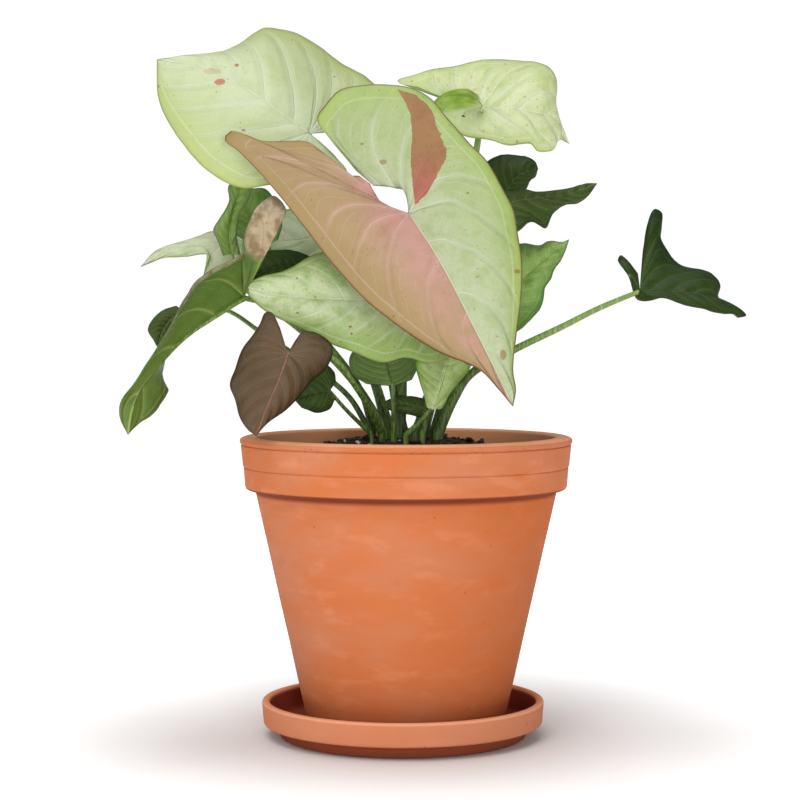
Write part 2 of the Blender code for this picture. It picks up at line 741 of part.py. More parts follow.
def along(places, share):
    """Point at a share of the length of a smooth line through some places."""
    spans = [(b - a).length for a, b in zip(places, places[1:])]
    goal = share * sum(spans)
    index = 0
    while index < len(spans) - 1 and goal > spans[index]:
        goal -= spans[index]
        index += 1
    t = min(goal / spans[index], 1.0)
    a = places[index]
    b = places[index + 1]
    before = places[index - 1] if index > 0 else a * 2.0 - b
    after = places[index + 2] if index + 2 < len(places) else b * 2.0 - a
    span = (b - a).length
    rise = (b - before) * (span / (span + (a - before).length))
    fall = (after - a) * (span / (span + (after - b).length))
    cubic = 2.0 * t ** 3 - 3.0 * t ** 2
    return (a * (1.0 + cubic) + b * -cubic
            + rise * (t ** 3 - 2.0 * t ** 2 + t) + fall * (t ** 3 - t ** 2))


def lobe_start(rim, joint, forward):
    """Share of the rim at which the ribs begin to start from the joint itself."""
    for step in range(1, SEARCH_STEPS):
        spoke = along(rim, step / SEARCH_STEPS) - joint
        if spoke.angle(forward) > LOBE_ANGLE:
            return max(step / SEARCH_STEPS, 0.15)
    return 0.8


def blade_half(midrib, rim, sinus, face, leaf, phase, lift):
    """One half of a blade: a grid laid between the midrib and the rim.

    Sinus is the line of places from the joint along the notch from which the last ribs
    of the lobe start, or only the joint. Phase shifts the waves of the rim. Lift is how
    far the last ribs rise above the joint, so that a lobe that lies over its neighbour
    stays clear of it.
    """
    wave = leaf["wave"]
    joint = midrib[0]
    to_tip = list(reversed(midrib))
    forward = (along(midrib, 0.5) - joint).normalized()
    start = lobe_start(rim, joint, forward)
    lobe_ribs = max(2, round(RIM_RIBS * (1.0 - start)))
    columns = FRONT_RIBS + lobe_ribs
    sheet = bmesh.new()
    bmesh.ops.create_grid(sheet, x_segments=columns, y_segments=RIB_STEPS, size=0.5)
    for vertex in sheet.verts:
        column = (vertex.co.x + 0.5) * columns
        out = vertex.co.y + 0.5
        if column <= FRONT_RIBS:
            share = start * column / FRONT_RIBS
            origin = along(to_tip, column / FRONT_RIBS)
        else:
            turn = (column - FRONT_RIBS) / lobe_ribs
            share = start + (1.0 - start) * turn
            origin = joint + face * lift * min(turn * 1.5, 1.0) * MM
            if len(sinus) > 1 and turn > SINUS_TURN:
                origin = along(sinus, (turn - SINUS_TURN) / (1.0 - SINUS_TURN))
        edge = along(rim, share)
        swell = leaf["bulge"] * 4.0 * out * (1.0 - out) * math.sin(math.pi * min(share * 1.15, 1.0))
        ripple = wave[0] * out ** 2 * math.sin(2.0 * math.pi * wave[1] * share + phase)
        ripple *= min(share * 6.0, 1.0) * min((1.0 - share) * 2.5, 1.0)
        vertex.co = origin.lerp(edge, out) + face * (swell + ripple) * MM
    return sheet


def make_blade(name, leaf):
    """Both halves of a blade on one midrib, split into triangles, before it is thick."""
    midrib = [sighted(place) for place in leaf["midrib"]]
    rim_a = [midrib[-1]] + [sighted(place) for place in leaf["rim_a"]]
    rim_b = [midrib[-1]] + [sighted(place) for place in leaf["rim_b"]]
    sinus_a = [midrib[0]] + [sighted(place) for place in leaf.get("sinus_a", [])]
    sinus_b = [midrib[0]] + [sighted(place) for place in leaf.get("sinus_b", [])]
    face = upper_face(leaf)
    lift = leaf.get("lift", 0.0)
    sheet = blade_half(midrib, rim_a, sinus_a, face, leaf, 0.0, 0.0)
    other = blade_half(midrib, rim_b, sinus_b, face, leaf, OTHER_PHASE, lift)
    mesh = bpy.data.meshes.new(name)
    other.to_mesh(mesh)
    other.free()
    sheet.from_mesh(mesh)
    bmesh.ops.remove_doubles(sheet, verts=sheet.verts[:], dist=0.02 * MM)
    bmesh.ops.triangulate(sheet, faces=sheet.faces[:])
    bmesh.ops.recalc_face_normals(sheet, faces=sheet.faces[:])
    sheet.to_mesh(mesh)
    sheet.free()
    return mesh


def upper_face(leaf):
    """Direction in which the upper side of a blade looks."""
    midrib = [sighted(place) for place in leaf["midrib"]]
    rim_a = sighted(leaf["rim_a"][len(leaf["rim_a"]) // 2])
    rim_b = sighted(leaf["rim_b"][len(leaf["rim_b"]) // 2])
    face = (midrib[-1] - midrib[0]).cross(rim_b - rim_a).normalized()
    toward_eye = face.y < 0.0
    if toward_eye != leaf["upper_seen"]:
        face.negate()
    return face


def make_stalk(name, leaf):
    """Mesh of a stalk: upright in the soil, then leaning over to run along the midrib."""
    foot = Vector((leaf["root"][0] * MM, -leaf["root"][1] * MM, STALK_FOOT))
    bend = Vector((foot.x, foot.y, STALK_BEND))
    midrib = [sighted(place) for place in leaf["midrib"]]
    under = upper_face(leaf) * -1.0
    foot_radius = leaf["radii"][0] * MM
    top_radius = leaf["radii"][1] * MM
    joint = midrib[0] + under * top_radius * 0.35
    guide = [bend] + [sighted(place) for place in leaf["stalk"]] + [joint]
    count = STALK_STEPS * (len(guide) - 1)
    path = [foot] + [along(guide, step / count) for step in range(count + 1)]
    path.append(along(midrib, 0.1) + under * top_radius * 0.3)
    path.append(along(midrib, 0.26) + under * top_radius * 0.15)
    curve = bpy.data.curves.new(name + "_stalk", "CURVE")
    curve.dimensions = "3D"
    curve.bevel_depth = 1.0
    curve.bevel_resolution = STALK_SIDES
    curve.use_fill_caps = True
    spline = curve.splines.new("POLY")
    spline.points.add(len(path) - 1)
    for index, place in enumerate(path):
        spline.points[index].co = (place.x, place.y, place.z, 1.0)
        share = min(index / count, 1.0)
        spline.points[index].radius = foot_radius + (top_radius - foot_radius) * share ** 0.6
    spline.points[-2].radius = top_radius * 0.7
    spline.points[-1].radius = top_radius * 0.4
    body = bpy.data.objects.new(name + "_stalk", curve)
    bpy.context.scene.collection.objects.link(body)
    mesh = fixed_mesh(body)
    bpy.data.objects.remove(body, do_unlink=True)
    weld = bmesh.new()
    weld.from_mesh(mesh)
    bmesh.ops.remove_doubles(weld, verts=weld.verts[:], dist=0.002 * MM)
    bmesh.ops.recalc_face_normals(weld, faces=weld.faces[:])
    weld.to_mesh(mesh)
    weld.free()
    return mesh


def make_leaf(name, leaf, material, collection):
    """A leaf: its blade given thickness and fused with its stalk."""
    blade = add_object(name, make_blade(name, leaf), material, collection)
    stalk = add_object(name + "_stalk", make_stalk(name, leaf), material, collection)
    thick = blade.modifiers.new("thickness", "SOLIDIFY")
    thick.thickness = BLADE_THICKNESS
    thick.offset = 0.0
    fuse = blade.modifiers.new("stalk", "BOOLEAN")
    fuse.operation = "UNION"
    fuse.solver = "MANIFOLD"
    fuse.object = stalk
    mesh = fixed_mesh(blade)
    blade.modifiers.clear()
    blade.data = mesh
    mesh.name = name
    bpy.data.objects.remove(stalk, do_unlink=True)
    return blade


def build():
    clear_scene()
    collection = bpy.data.collections.new("potted_arrowhead_plant")
    bpy.context.scene.collection.children.link(collection)
    terracotta = make_material("pot_clay", (0.60, 0.22, 0.10), 0.85)
    saucer_clay = make_material("saucer_clay", (0.58, 0.21, 0.10), 0.85)
    earth = make_material("soil", (0.03, 0.02, 0.015), 0.95)
    make_saucer(saucer_clay, collection)
    make_pot(terracotta, collection)
    holes = []
    for leaf in LEAVES.values():
        across, near = leaf["root"]
        holes.append((across * MM, -near * MM, leaf["radii"][0] * MM))
    make_soil(earth, collection, holes)
    for name, leaf in LEAVES.items():
        material = make_material(name, leaf["color"], 0.5)
        make_leaf(name, leaf, material, collection)


build()
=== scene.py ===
import math

import bmesh
import bpy
from mathutils import Matrix, Vector, noise


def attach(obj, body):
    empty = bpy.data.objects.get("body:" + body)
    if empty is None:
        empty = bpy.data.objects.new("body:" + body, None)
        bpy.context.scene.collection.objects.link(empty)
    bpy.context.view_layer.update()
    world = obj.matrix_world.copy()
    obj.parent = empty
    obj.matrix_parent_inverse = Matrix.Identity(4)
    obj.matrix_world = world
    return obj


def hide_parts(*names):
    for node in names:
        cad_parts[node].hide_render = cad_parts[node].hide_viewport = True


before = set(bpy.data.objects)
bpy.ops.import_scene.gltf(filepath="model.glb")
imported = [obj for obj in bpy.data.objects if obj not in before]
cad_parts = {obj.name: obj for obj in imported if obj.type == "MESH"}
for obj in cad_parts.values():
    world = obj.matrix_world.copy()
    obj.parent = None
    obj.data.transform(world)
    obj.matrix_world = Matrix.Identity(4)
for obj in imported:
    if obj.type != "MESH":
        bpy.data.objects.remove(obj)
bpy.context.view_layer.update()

mm = 0.001


class Wire:
    # one output of a node tree, with the operators that the finishes use
    def __init__(self, socket):
        self.socket = socket

    def step(self, operation, first, second=None):
        made = self.socket.id_data.nodes.new("ShaderNodeMath")
        made.operation = operation
        for place, value in ((0, first), (1, second)):
            if isinstance(value, Wire):
                self.socket.id_data.links.new(value.socket, made.inputs[place])
            elif value is not None:
                made.inputs[place].default_value = value
        return Wire(made.outputs[0])

    def __add__(self, other):
        return self.step("ADD", self, other)

    def __radd__(self, other):
        return self.step("ADD", other, self)

    def __sub__(self, other):
        return self.step("SUBTRACT", self, other)

    def __rsub__(self, other):
        return self.step("SUBTRACT", other, self)

    def __mul__(self, other):
        return self.step("MULTIPLY", self, other)

    def __rmul__(self, other):
        return self.step("MULTIPLY", other, self)

    def __truediv__(self, other):
        return self.step("DIVIDE", self, other)

    def __pow__(self, other):
        return self.step("POWER", self, other)

    def __mod__(self, other):
        return self.step("FLOORED_MODULO", self, other)

    def __abs__(self):
        return self.step("ABSOLUTE", self)

    def __gt__(self, other):
        return self.step("GREATER_THAN", self, other)

    def __lt__(self, other):
        return self.step("LESS_THAN", self, other)

    def orMore(self, other):
        return self.step("MAXIMUM", self, other)

    def orLess(self, other):
        return self.step("MINIMUM", self, other)


class Tree:
    # a node tree under construction: any node comes from add
    def __init__(self, tree):
        self.tree = tree

    def add(self, kind, settings=None, sockets=None, out=0):
        made = self.tree.nodes.new(kind)
        for key, value in (settings or {}).items():
            if key == "stops":
                for place, (at, shade) in enumerate(value):
                    ramp = made.color_ramp
                    stop = ramp.elements[place] if place < 2 else ramp.elements.new(at)
                    stop.position = at
                    stop.color = (shade, shade, shade, 1.0)
            else:
                setattr(made, key, value)
        for key, value in (sockets or {}).items():
            if isinstance(value, Wire):
                self.tree.links.new(value.socket, made.inputs[key])
            else:
                made.inputs[key].default_value = value
        return Wire(made.outputs[out])


def tint(red, green, blue):
    # screen colour, 0 to 255, as the shader wants it
    return tuple((part / 255.0) ** 2.2 for part in (red, green, blue)) + (1.0,)


class Finish(Tree):
    # a material with one Principled shader, and the patterns that its colour is mixed from
    def __init__(self, name, rough, fixed=None):
        self.material = bpy.data.materials.new(name)
        self.material.use_nodes = True
        super().__init__(self.material.node_tree)
        self.shader = self.tree.nodes["Principled BSDF"]
        self.shader.inputs["Roughness"].default_value = rough
        for key, value in (fixed or {}).items():
            self.shader.inputs[key].default_value = value
        self.spot = self.add("ShaderNodeTexCoord", out="Object")
        self.x, self.y, self.z = self.split(self.spot)

    def split(self, vector):
        parts = self.tree.nodes.new("ShaderNodeSeparateXYZ")
        self.tree.links.new(vector.socket, parts.inputs[0])
        return [Wire(part) for part in parts.outputs]

    def clouds(self, scale, detail=3.0, rough=0.55, spot=None):
        return self.add("ShaderNodeTexNoise", None, {
            "Vector": spot or self.spot, "Scale": scale, "Detail": detail, "Roughness": rough})

    def soft(self, value, low, high):
        # 0 below low, 1 above high, eased between; high below low turns it round
        return self.add("ShaderNodeMapRange", {"interpolation_type": "SMOOTHSTEP"}, {
            "Value": value, "From Min": low, "From Max": high})

    def mix(self, share, first, second):
        return self.add("ShaderNodeMix", {"data_type": "RGBA"}, {0: share, 6: first, 7: second}, 2)

    def dots(self, scale, size, keep, spot=None):
        # small ragged marks, of which keep is the share that shows
        bent = self.add("ShaderNodeTexNoise", None, {
            "Vector": spot or self.spot, "Scale": scale * 1.6, "Detail": 2.0}, "Color")
        bent = self.add("ShaderNodeVectorMath", {"operation": "SCALE"}, {0: bent, "Scale": 0.7 / scale})
        bent = self.add("ShaderNodeVectorMath", {"operation": "ADD"}, {0: bent, 1: spot or self.spot})
        made = self.add("ShaderNodeTexVoronoi", None, {"Vector": bent, "Scale": scale}, "Distance")
        pick = self.split(Wire(made.socket.node.outputs["Color"]))[0]
        return self.soft(made, size, size * 0.5) * (pick < keep)

    def blot(self, place, width, height, edge=0.35):
        # one mark round a place on the surface, in the upright plane that faces the viewer
        centre = sighted(place)
        ragged = self.clouds(260.0, 2.0) * edge - edge * 0.5
        wide = abs(self.x - centre.x) / (width * mm)
        tall = abs(self.z - centre.z) / (height * mm)
        return self.soft((wide ** 2 + tall ** 2) ** 0.5 + ragged * 2.0, 1.1, 0.85)

    def paint(self, color, rough=None, relief=None, depth=1.0):
        self.tree.links.new(color.socket, self.shader.inputs["Base Color"])
        if rough is not None:
            self.tree.links.new(rough.socket, self.shader.inputs["Roughness"])
        if relief is not None:
            bump = self.add("ShaderNodeBump", None, {
                "Height": relief, "Distance": depth * mm, "Strength": 1.0})
            self.tree.links.new(bump.socket, self.shader.inputs["Normal"])
        return self.material


# stage: pale floor, soft light, camera

stage = {
    "eye": (-0.003, -1.1, 0.2097),
    "shift": -0.1071,  # level view, framed lower
    "lens": 99.0,
    "skyLight": 0.34,
    "lights": {  # place, aim, size, power
        "keyLight": ((-0.35, -1.1, 1.5), (0.0, 0.0, 0.15), 1.0, 10.5),
        "topLight": ((0.0, 0.1, 1.6), (0.0, 0.0, 0.1), 0.7, 7.0),
        "lowLight": ((0.25, -1.5, 0.26), (0.0, 0.0, 0.15), 0.35, 6.0),
        "leftLight": ((-1.3, -0.5, 0.6), (0.0, 0.0, 0.2), 1.0, 2.5),
    },
    "glow": 0.74,  # what the floor gives off far from the pot, so that it stays white
}
eye = Vector(stage["eye"]) / mm


def softbox(name, place, aim, size, power):
    light = bpy.data.lights.new(name, "AREA")
    light.shape = "DISK"
    light.size = size
    light.energy = power
    body = bpy.data.objects.new(name, light)
    body.location = place
    body.rotation_euler = (Vector(aim) - Vector(place)).to_track_quat("-Z", "Y").to_euler()
    bpy.context.scene.collection.objects.link(body)


def setStage():
    scene = bpy.context.scene
    scene.view_settings.view_transform = "Standard"
    world = bpy.data.worlds.new("studio")
    world.use_nodes = True
    sky = world.node_tree.nodes["Background"]
    sky.inputs["Color"].default_value = (1.0, 1.0, 1.0, 1.0)
    sky.inputs["Strength"].default_value = stage["skyLight"]
    backdrop = Tree(world.node_tree)
    seen = backdrop.add("ShaderNodeLightPath", out="Is Camera Ray")
    plainWhite = backdrop.add("ShaderNodeBackground", None, {"Color": (1.0, 1.0, 1.0, 1.0), "Strength": 1.02})
    both = backdrop.add("ShaderNodeMixShader", None, {0: seen, 1: Wire(sky.outputs[0]), 2: plainWhite})
    world.node_tree.links.new(both.socket, world.node_tree.nodes["World Output"].inputs["Surface"])
    scene.world = world
    camera = bpy.data.objects.new("camera", bpy.data.cameras.new("camera"))
    camera.location = stage["eye"]
    camera.rotation_euler = (math.radians(90.0), 0.0, 0.0)
    camera.data.lens = stage["lens"]
    camera.data.shift_y = stage["shift"]
    camera.data.sensor_width = 36.0
    scene.collection.objects.link(camera)
    scene.camera = camera
    for name, (place, aim, size, power) in stage["lights"].items():
        softbox(name, place, aim, size, power)
    bpy.ops.mesh.primitive_plane_add(size=12.0, location=(0.0, 0.0, -0.0005))
    floor = bpy.context.object
    floor.name = "floor"
    paper = Finish("floorPaper", 0.9, {"Emission Strength": stage["glow"]})
    away = paper.soft((paper.x ** 2 + paper.y ** 2) ** 0.5, 0.07, 0.34)
    glow = paper.mix(away, (0.0, 0.0, 0.0, 1.0), (1.0, 1.0, 1.0, 1.0))
    paper.tree.links.new(glow.socket, paper.shader.inputs["Emission Color"])
    grain = paper.clouds(30.0)
    floor.data.materials.append(paper.paint(paper.mix(grain, tint(250, 250, 250), tint(252, 252, 252))))


# fired clay

pot = {
    "rimRadius": 83.0, "mouth": 74.5, "top": 149.1, "bead": 3.8, "groove": 134.0,
    "rimBottom": 122.8, "bodyTop": 75.3, "base": 48.9, "bottom": 5.8, "wall": 6.5,
    "floor": 8.0, "drain": 8.0,
}
saucer = {
    "radius": 70.6, "height": 18.0, "wall": 4.0, "floor": 5.5, "foot": 61.5, "step": 6.0,
    "aside": -1.5,  # mm from the pot's axis
    # dark red of the saucer's well: damp clay, deepened with painted shade
    "shadedWetRed": tint(118, 30, 9),
}
clay = {
    "steps": 192,
    "wobble": 0.12,  # mm that the turned wall wanders
    "orange": tint(194, 108, 63), "pink": tint(191, 117, 82), "deep": tint(178, 88, 48),
    # Of the colours that follow, the brown ending this row paints shade; in the next row the darkest paints
    # the shadow under the rim and the palest paints highlights and light.
    "pale": tint(216, 140, 104), "pit": tint(120, 42, 18), "shadowBrown": tint(184, 92, 36),
    "rimShadow": tint(104, 34, 12), "light": tint(238, 168, 126),
}


def rounded(corners, reach=4.0):
    # (radius, height, rounding) corners in mm, as a smooth run of (radius, height)
    line = []
    for index, (radius, height, cut) in enumerate(corners):
        corner = Vector((radius, height))
        if cut == 0.0 or index in (0, len(corners) - 1):
            line.append(corner)
            continue
        before = Vector(corners[index - 1][:2]) - corner
        after = Vector(corners[index + 1][:2]) - corner
        start = corner + before.normalized() * min(cut, before.length * 0.49)
        end = corner + after.normalized() * min(cut, after.length * 0.49)
        for part in range(6):
            t = part / 5.0
            line.append(start * (1.0 - t) ** 2 + corner * 2.0 * t * (1.0 - t) + end * t ** 2)
    run = [line[0]]
    for place in line[1:]:
        pieces = max(1, math.ceil((place - run[-1]).length / reach))
        first = run[-1]
        run.extend(first.lerp(place, part / pieces) for part in range(1, pieces + 1))
    return run


def turnedPiece(name, corners, material):
    # an outline that ends on the axis stays open there, any other closes
    run = rounded(corners)
    mesh = bpy.data.meshes.new(name)
    edges = [(index, index + 1) for index in range(len(run) - 1)]
    mesh.from_pydata([(place.x * mm, 0.0, place.y * mm) for place in run], edges, [])
    body = bpy.data.objects.new(name, mesh)
    bpy.context.scene.collection.objects.link(body)
    turn = body.modifiers.new("turn", "SCREW")
    turn.steps = clay["steps"]
    turn.render_steps = clay["steps"]
    turn.use_merge_vertices = True
    turn.merge_threshold = 0.00001
    turn.use_smooth_shade = True
    body = plain(body, name)
    shape = bmesh.new()
    shape.from_mesh(body.data)
    bmesh.ops.remove_doubles(shape, verts=shape.verts[:], dist=0.004 * mm)
    bmesh.ops.recalc_face_normals(shape, faces=shape.faces[:])
    for vertex in shape.verts:
        around = Vector((vertex.co.x, vertex.co.y, vertex.co.z * 1.6)) / 0.045
        push = noise.noise(around) * clay["wobble"] * mm
        if vertex.co.xy.length > 0.03:
            vertex.co.xy += vertex.co.xy.normalized() * push
    shape.to_mesh(body.data)
    shape.free()
    body.data.materials.append(material)
    return body


def plain(body, name):
    # the object's mesh with its modifiers worked in, on a new object at the origin
    graph = bpy.context.evaluated_depsgraph_get()
    graph.update()
    mesh = bpy.data.meshes.new_from_object(body.evaluated_get(graph))
    mesh.transform(body.matrix_world)
    bpy.data.objects.remove(body, do_unlink=True)
    made = bpy.data.objects.new(name, mesh)
    bpy.context.scene.collection.objects.link(made)
    mesh.name = name
    return made


def clayFinish(name, isSaucer):
    made = Finish(name, 0.85, {"Specular IOR Level": 0.3})
    flat = made.add("ShaderNodeCombineXYZ", None, {0: made.x, 1: made.y, 2: made.z * 2.6})
    drift = made.soft(made.clouds(14.0, 3.0, 0.6, flat), 0.38, 0.64)
    body = made.mix(drift, clay["orange"], clay["pink"])
    smear = made.soft(made.clouds(42.0, 4.0, 0.62, flat), 0.5, 0.72)
    body = made.mix(smear * 0.35, body, clay["pale"])
    rubbed = made.soft(made.clouds(95.0, 3.0, 0.6), 0.55, 0.75)
    body = made.mix(rubbed * 0.18, body, clay["deep"])
    aside = saucer["aside"] if isSaucer else 0.0
    radius = ((made.x - aside * mm) ** 2 + made.y ** 2) ** 0.5
    pits = made.dots(420.0, 0.24, 0.014)
    grit = made.clouds(1400.0, 2.0, 0.6)
    if isSaucer:
        edge = saucer["radius"] - saucer["wall"]
        height = saucer["height"]
        # painted light: the saucer paler towards its left side
        body = made.mix(made.soft(made.x, 70.0 * mm, -60.0 * mm) * 0.2 + 0.45, body, clay["pale"])
        # painted highlight along the top of the saucer's rim
        lipHighlight = made.soft(made.z, (height - 1.6) * mm, (height - 0.7) * mm)
        body = made.mix(lipHighlight * 0.8, body, clay["light"])
        # painted shade in the saucer's well, on top of the darker damp clay
        inside = made.soft(radius, (edge + 0.6) * mm, (edge - 0.2) * mm)
        inside = inside * made.soft(made.z, (height - 0.6) * mm, (height - 2.6) * mm)
        body = made.mix(inside * 0.9, body, saucer["shadedWetRed"])
        under = made.soft(made.z, 7.4 * mm, 5.2 * mm)
        streaks = made.clouds(200.0, 2.0, 0.6)
        body = made.mix(under * (0.55 + streaks * 0.4), body, tint(142, 74, 48))
        chips = made.soft(made.z, 12.6 * mm, 13.2 * mm) * made.soft(made.z, 15.4 * mm, 14.6 * mm)
        chips = chips * made.soft(made.clouds(150.0, 4.0, 0.7, flat), 0.62, 0.68)
        body = made.mix(chips * 0.35, body, clay["deep"])
        marks = pits
    else:
        # darker towards the bottom: damp clay, and painted shade near the saucer
        dampAndShade = made.soft(made.z + (made.clouds(24.0) - 0.5) * 0.02, 46.0 * mm, 8.0 * mm)
        body = made.mix(dampAndShade * 0.4, body, clay["deep"])
        # painted shade: the right side of the wall darker brown
        shadedRight = made.soft(made.x + (made.clouds(18.0) - 0.5) * 0.03, -10.0 * mm, 62.0 * mm)
        body = made.mix(shadedRight * 0.6 * (made.z < 123.2 * mm), body, clay["shadowBrown"])
        # painted shade on the wall under the rim
        shade = made.soft(made.z, 106.0 * mm, 122.0 * mm) * (made.z < 123.2 * mm)
        body = made.mix(shade * 0.3, body, clay["shadowBrown"])
        # painted shadow: a dark line just under the rim's ledge
        rimShadow = made.soft(made.z, 119.2 * mm, 121.8 * mm) * made.soft(made.z, 124.4 * mm, 123.4 * mm)
        body = made.mix(rimShadow * 0.88, body, clay["rimShadow"])
        # painted light: the upper inside wall of the mouth made paler, as if lit
        inside = made.soft(radius, 76.0 * mm, 75.0 * mm) * (made.z > 125.0 * mm)
        body = made.mix(inside * 0.7, body, clay["light"])
        # painted highlight along the top of the pot's rim
        lipHighlight = made.soft(made.z, (pot["top"] - 1.6) * mm, (pot["top"] - 0.7) * mm)
        body = made.mix(lipHighlight * 0.75, body, clay["light"])
        low = pot["top"] - pot["bead"]
        band = made.soft(abs(made.z - (low + 0.5) * mm), 1.3 * mm, 0.5 * mm)
        band = band * (radius > 79.0 * mm)
        flecks = made.soft(made.clouds(620.0, 3.0, 0.7, flat), 0.6, 0.66)
        flecks = flecks * made.soft(made.clouds(60.0, 2.0), 0.5, 0.62)
        body = made.mix(band * 0.12, body, clay["deep"])
        body = made.mix(band * flecks * 0.7, body, clay["pit"])
        marks = pits * 0.6 + band * flecks
    body = made.mix(pits * 0.5, body, clay["pit"])
    relief = made.clouds(700.0, 3.0, 0.6) * 0.05 + grit * 0.03 - marks * 0.25 + smear * 0.03
    rough = 0.78 + made.clouds(60.0) * 0.15
    return made.paint(body, rough, relief)


def makePot():
    def inner(height):
        share = (height - pot["bottom"]) / (pot["rimBottom"] - pot["bottom"])
        return pot["base"] + (pot["bodyTop"] - pot["base"]) * share - pot["wall"]

    rim, mouth, top, groove = pot["rimRadius"], pot["mouth"], pot["top"], pot["groove"]
    low, bottom = pot["rimBottom"], pot["bottom"]
    bead, floor = top - pot["bead"], bottom + pot["floor"]
    corners = [
        (mouth + 2.5, top - 0.1, 0.0),
        (rim - 2.9, top, 1.6), (rim, top - 1.2, 1.3), (rim - 0.1, bead + 0.5, 0.6),
        (rim - 1.3, bead, 0.3), (rim - 0.6, bead - 0.6, 0.4), (rim - 1.6, groove + 0.5, 0.25),
        (rim - 2.45, groove, 0.2), (rim - 2.0, groove - 0.5, 0.3), (rim - 2.8, low + 0.4, 1.6),
        (rim - 5.6, low - 0.3, 0.9), (pot["bodyTop"] - 0.1, low - 0.7, 1.0),
        (pot["base"] + 0.1, bottom + 0.4, 1.1), (pot["base"] - 1.8, bottom, 0.6),
        (pot["drain"], bottom, 0.4), (pot["drain"], floor, 0.9),
        (inner(floor) - 0.4, floor, 2.8), (inner(low), low - 2.0, 3.0),
        (mouth - 0.8, low + 6.0, 3.0), (mouth, top - 0.2, 1.6), (mouth + 2.5, top - 0.1, 0.0),
    ]
    body = turnedPiece("pot_fired", corners, clayFinish("potClay", False))
    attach(body, "root")
    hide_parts("pot")


def makeSaucer():
    radius, height, floor = saucer["radius"], saucer["height"], saucer["floor"]
    inner, step, foot = radius - saucer["wall"], saucer["step"], saucer["foot"]
    corners = [
        (0.0, floor, 0.0), (inner - 2.2, floor, 3.4), (inner, height - 0.1, 1.3),
        (radius - 0.2, height, 1.9), (radius - 1.2, step + 0.3, 1.2),
        (foot + 3.6, step - 0.4, 1.2), (foot + 1.0, step - 1.4, 1.0),
        (foot - 0.3, 0.0, 0.9), (0.0, 0.0, 0.0),
    ]
    body = turnedPiece("saucer_fired", corners, clayFinish("saucerClay", True))
    body.data.transform(Matrix.Translation((saucer["aside"] * mm, 0.0, 0.0)))
    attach(body, "root")
    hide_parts("saucer")


# potting mix: a lumpy mound with crumbs, bark chips and white grit scattered over it

soil = {
    "edge": 138.5, "mound": 8.5, "moundRadius": 46.0, "lump": 1.1, "top": 73.0,
    "dark": tint(38, 27, 22), "brown": tint(74, 52, 40), "white": tint(226, 222, 214),
    "layers": {
        "crumbs": {"density": 52000.0, "small": 0.6, "large": 1.7, "flat": 0.8, "fine": 1, "seed": 3},
        "chips": {"density": 11000.0, "small": 1.3, "large": 3.1, "flat": 0.42, "fine": 2, "seed": 8},
        "grit": {"density": 6500.0, "small": 0.5, "large": 1.3, "flat": 0.7, "fine": 1, "seed": 5},
    },
}


def soilHeight(x, y):
    # the solid's own height, in metres
    mound = soil["mound"] * math.exp(-((math.hypot(x, y) / (soil["moundRadius"] * mm)) ** 4))
    lumps = math.sin(x * 310.0 + 1.3) * math.cos(y * 270.0 - 0.6)
    lumps += 0.6 * math.sin(x * 558.0 - y * 432.0)
    return (soil["edge"] + mound + soil["lump"] * lumps) * mm


def soilBed(material):
    spokes, rings = 132, 44
    shape = bmesh.new()
    loops = []
    walls = [(43.0, 14.6), (69.5, 122.0), (soil["top"], 128.5)]
    for radius, height in walls + [(soil["top"] * (1.0 - ring / rings), None) for ring in range(rings)]:
        loop = []
        for spoke in range(spokes):
            angle = 2.0 * math.pi * spoke / spokes
            x, y = radius * mm * math.cos(angle), radius * mm * math.sin(angle)
            z = height * mm if height is not None else soilHeight(x, y)
            if height is None:
                place = Vector((x, y, 0.0))
                z += (noise.noise(place * 180.0) * 0.9 + noise.noise(place * 520.0) * 0.7) * mm
            loop.append(shape.verts.new((x, y, z)))
        loops.append(loop)
    for lower, upper in zip(loops, loops[1:]):
        for spoke in range(spokes):
            after = (spoke + 1) % spokes
            shape.faces.new((lower[spoke], lower[after], upper[after], upper[spoke]))
    middle = shape.verts.new((0.0, 0.0, soilHeight(0.0, 0.0)))
    for spoke in range(spokes):
        shape.faces.new((loops[-1][spoke], loops[-1][(spoke + 1) % spokes], middle))
    shape.faces.new(list(reversed(loops[0])))
    bmesh.ops.recalc_face_normals(shape, faces=shape.faces[:])
    for face in shape.faces:
        face.smooth = True
    mesh = bpy.data.meshes.new("soil_bed")
    shape.to_mesh(mesh)
    shape.free()
    mesh.materials.append(material)
    body = bpy.data.objects.new("soil_bed", mesh)
    bpy.context.scene.collection.objects.link(body)
    return body


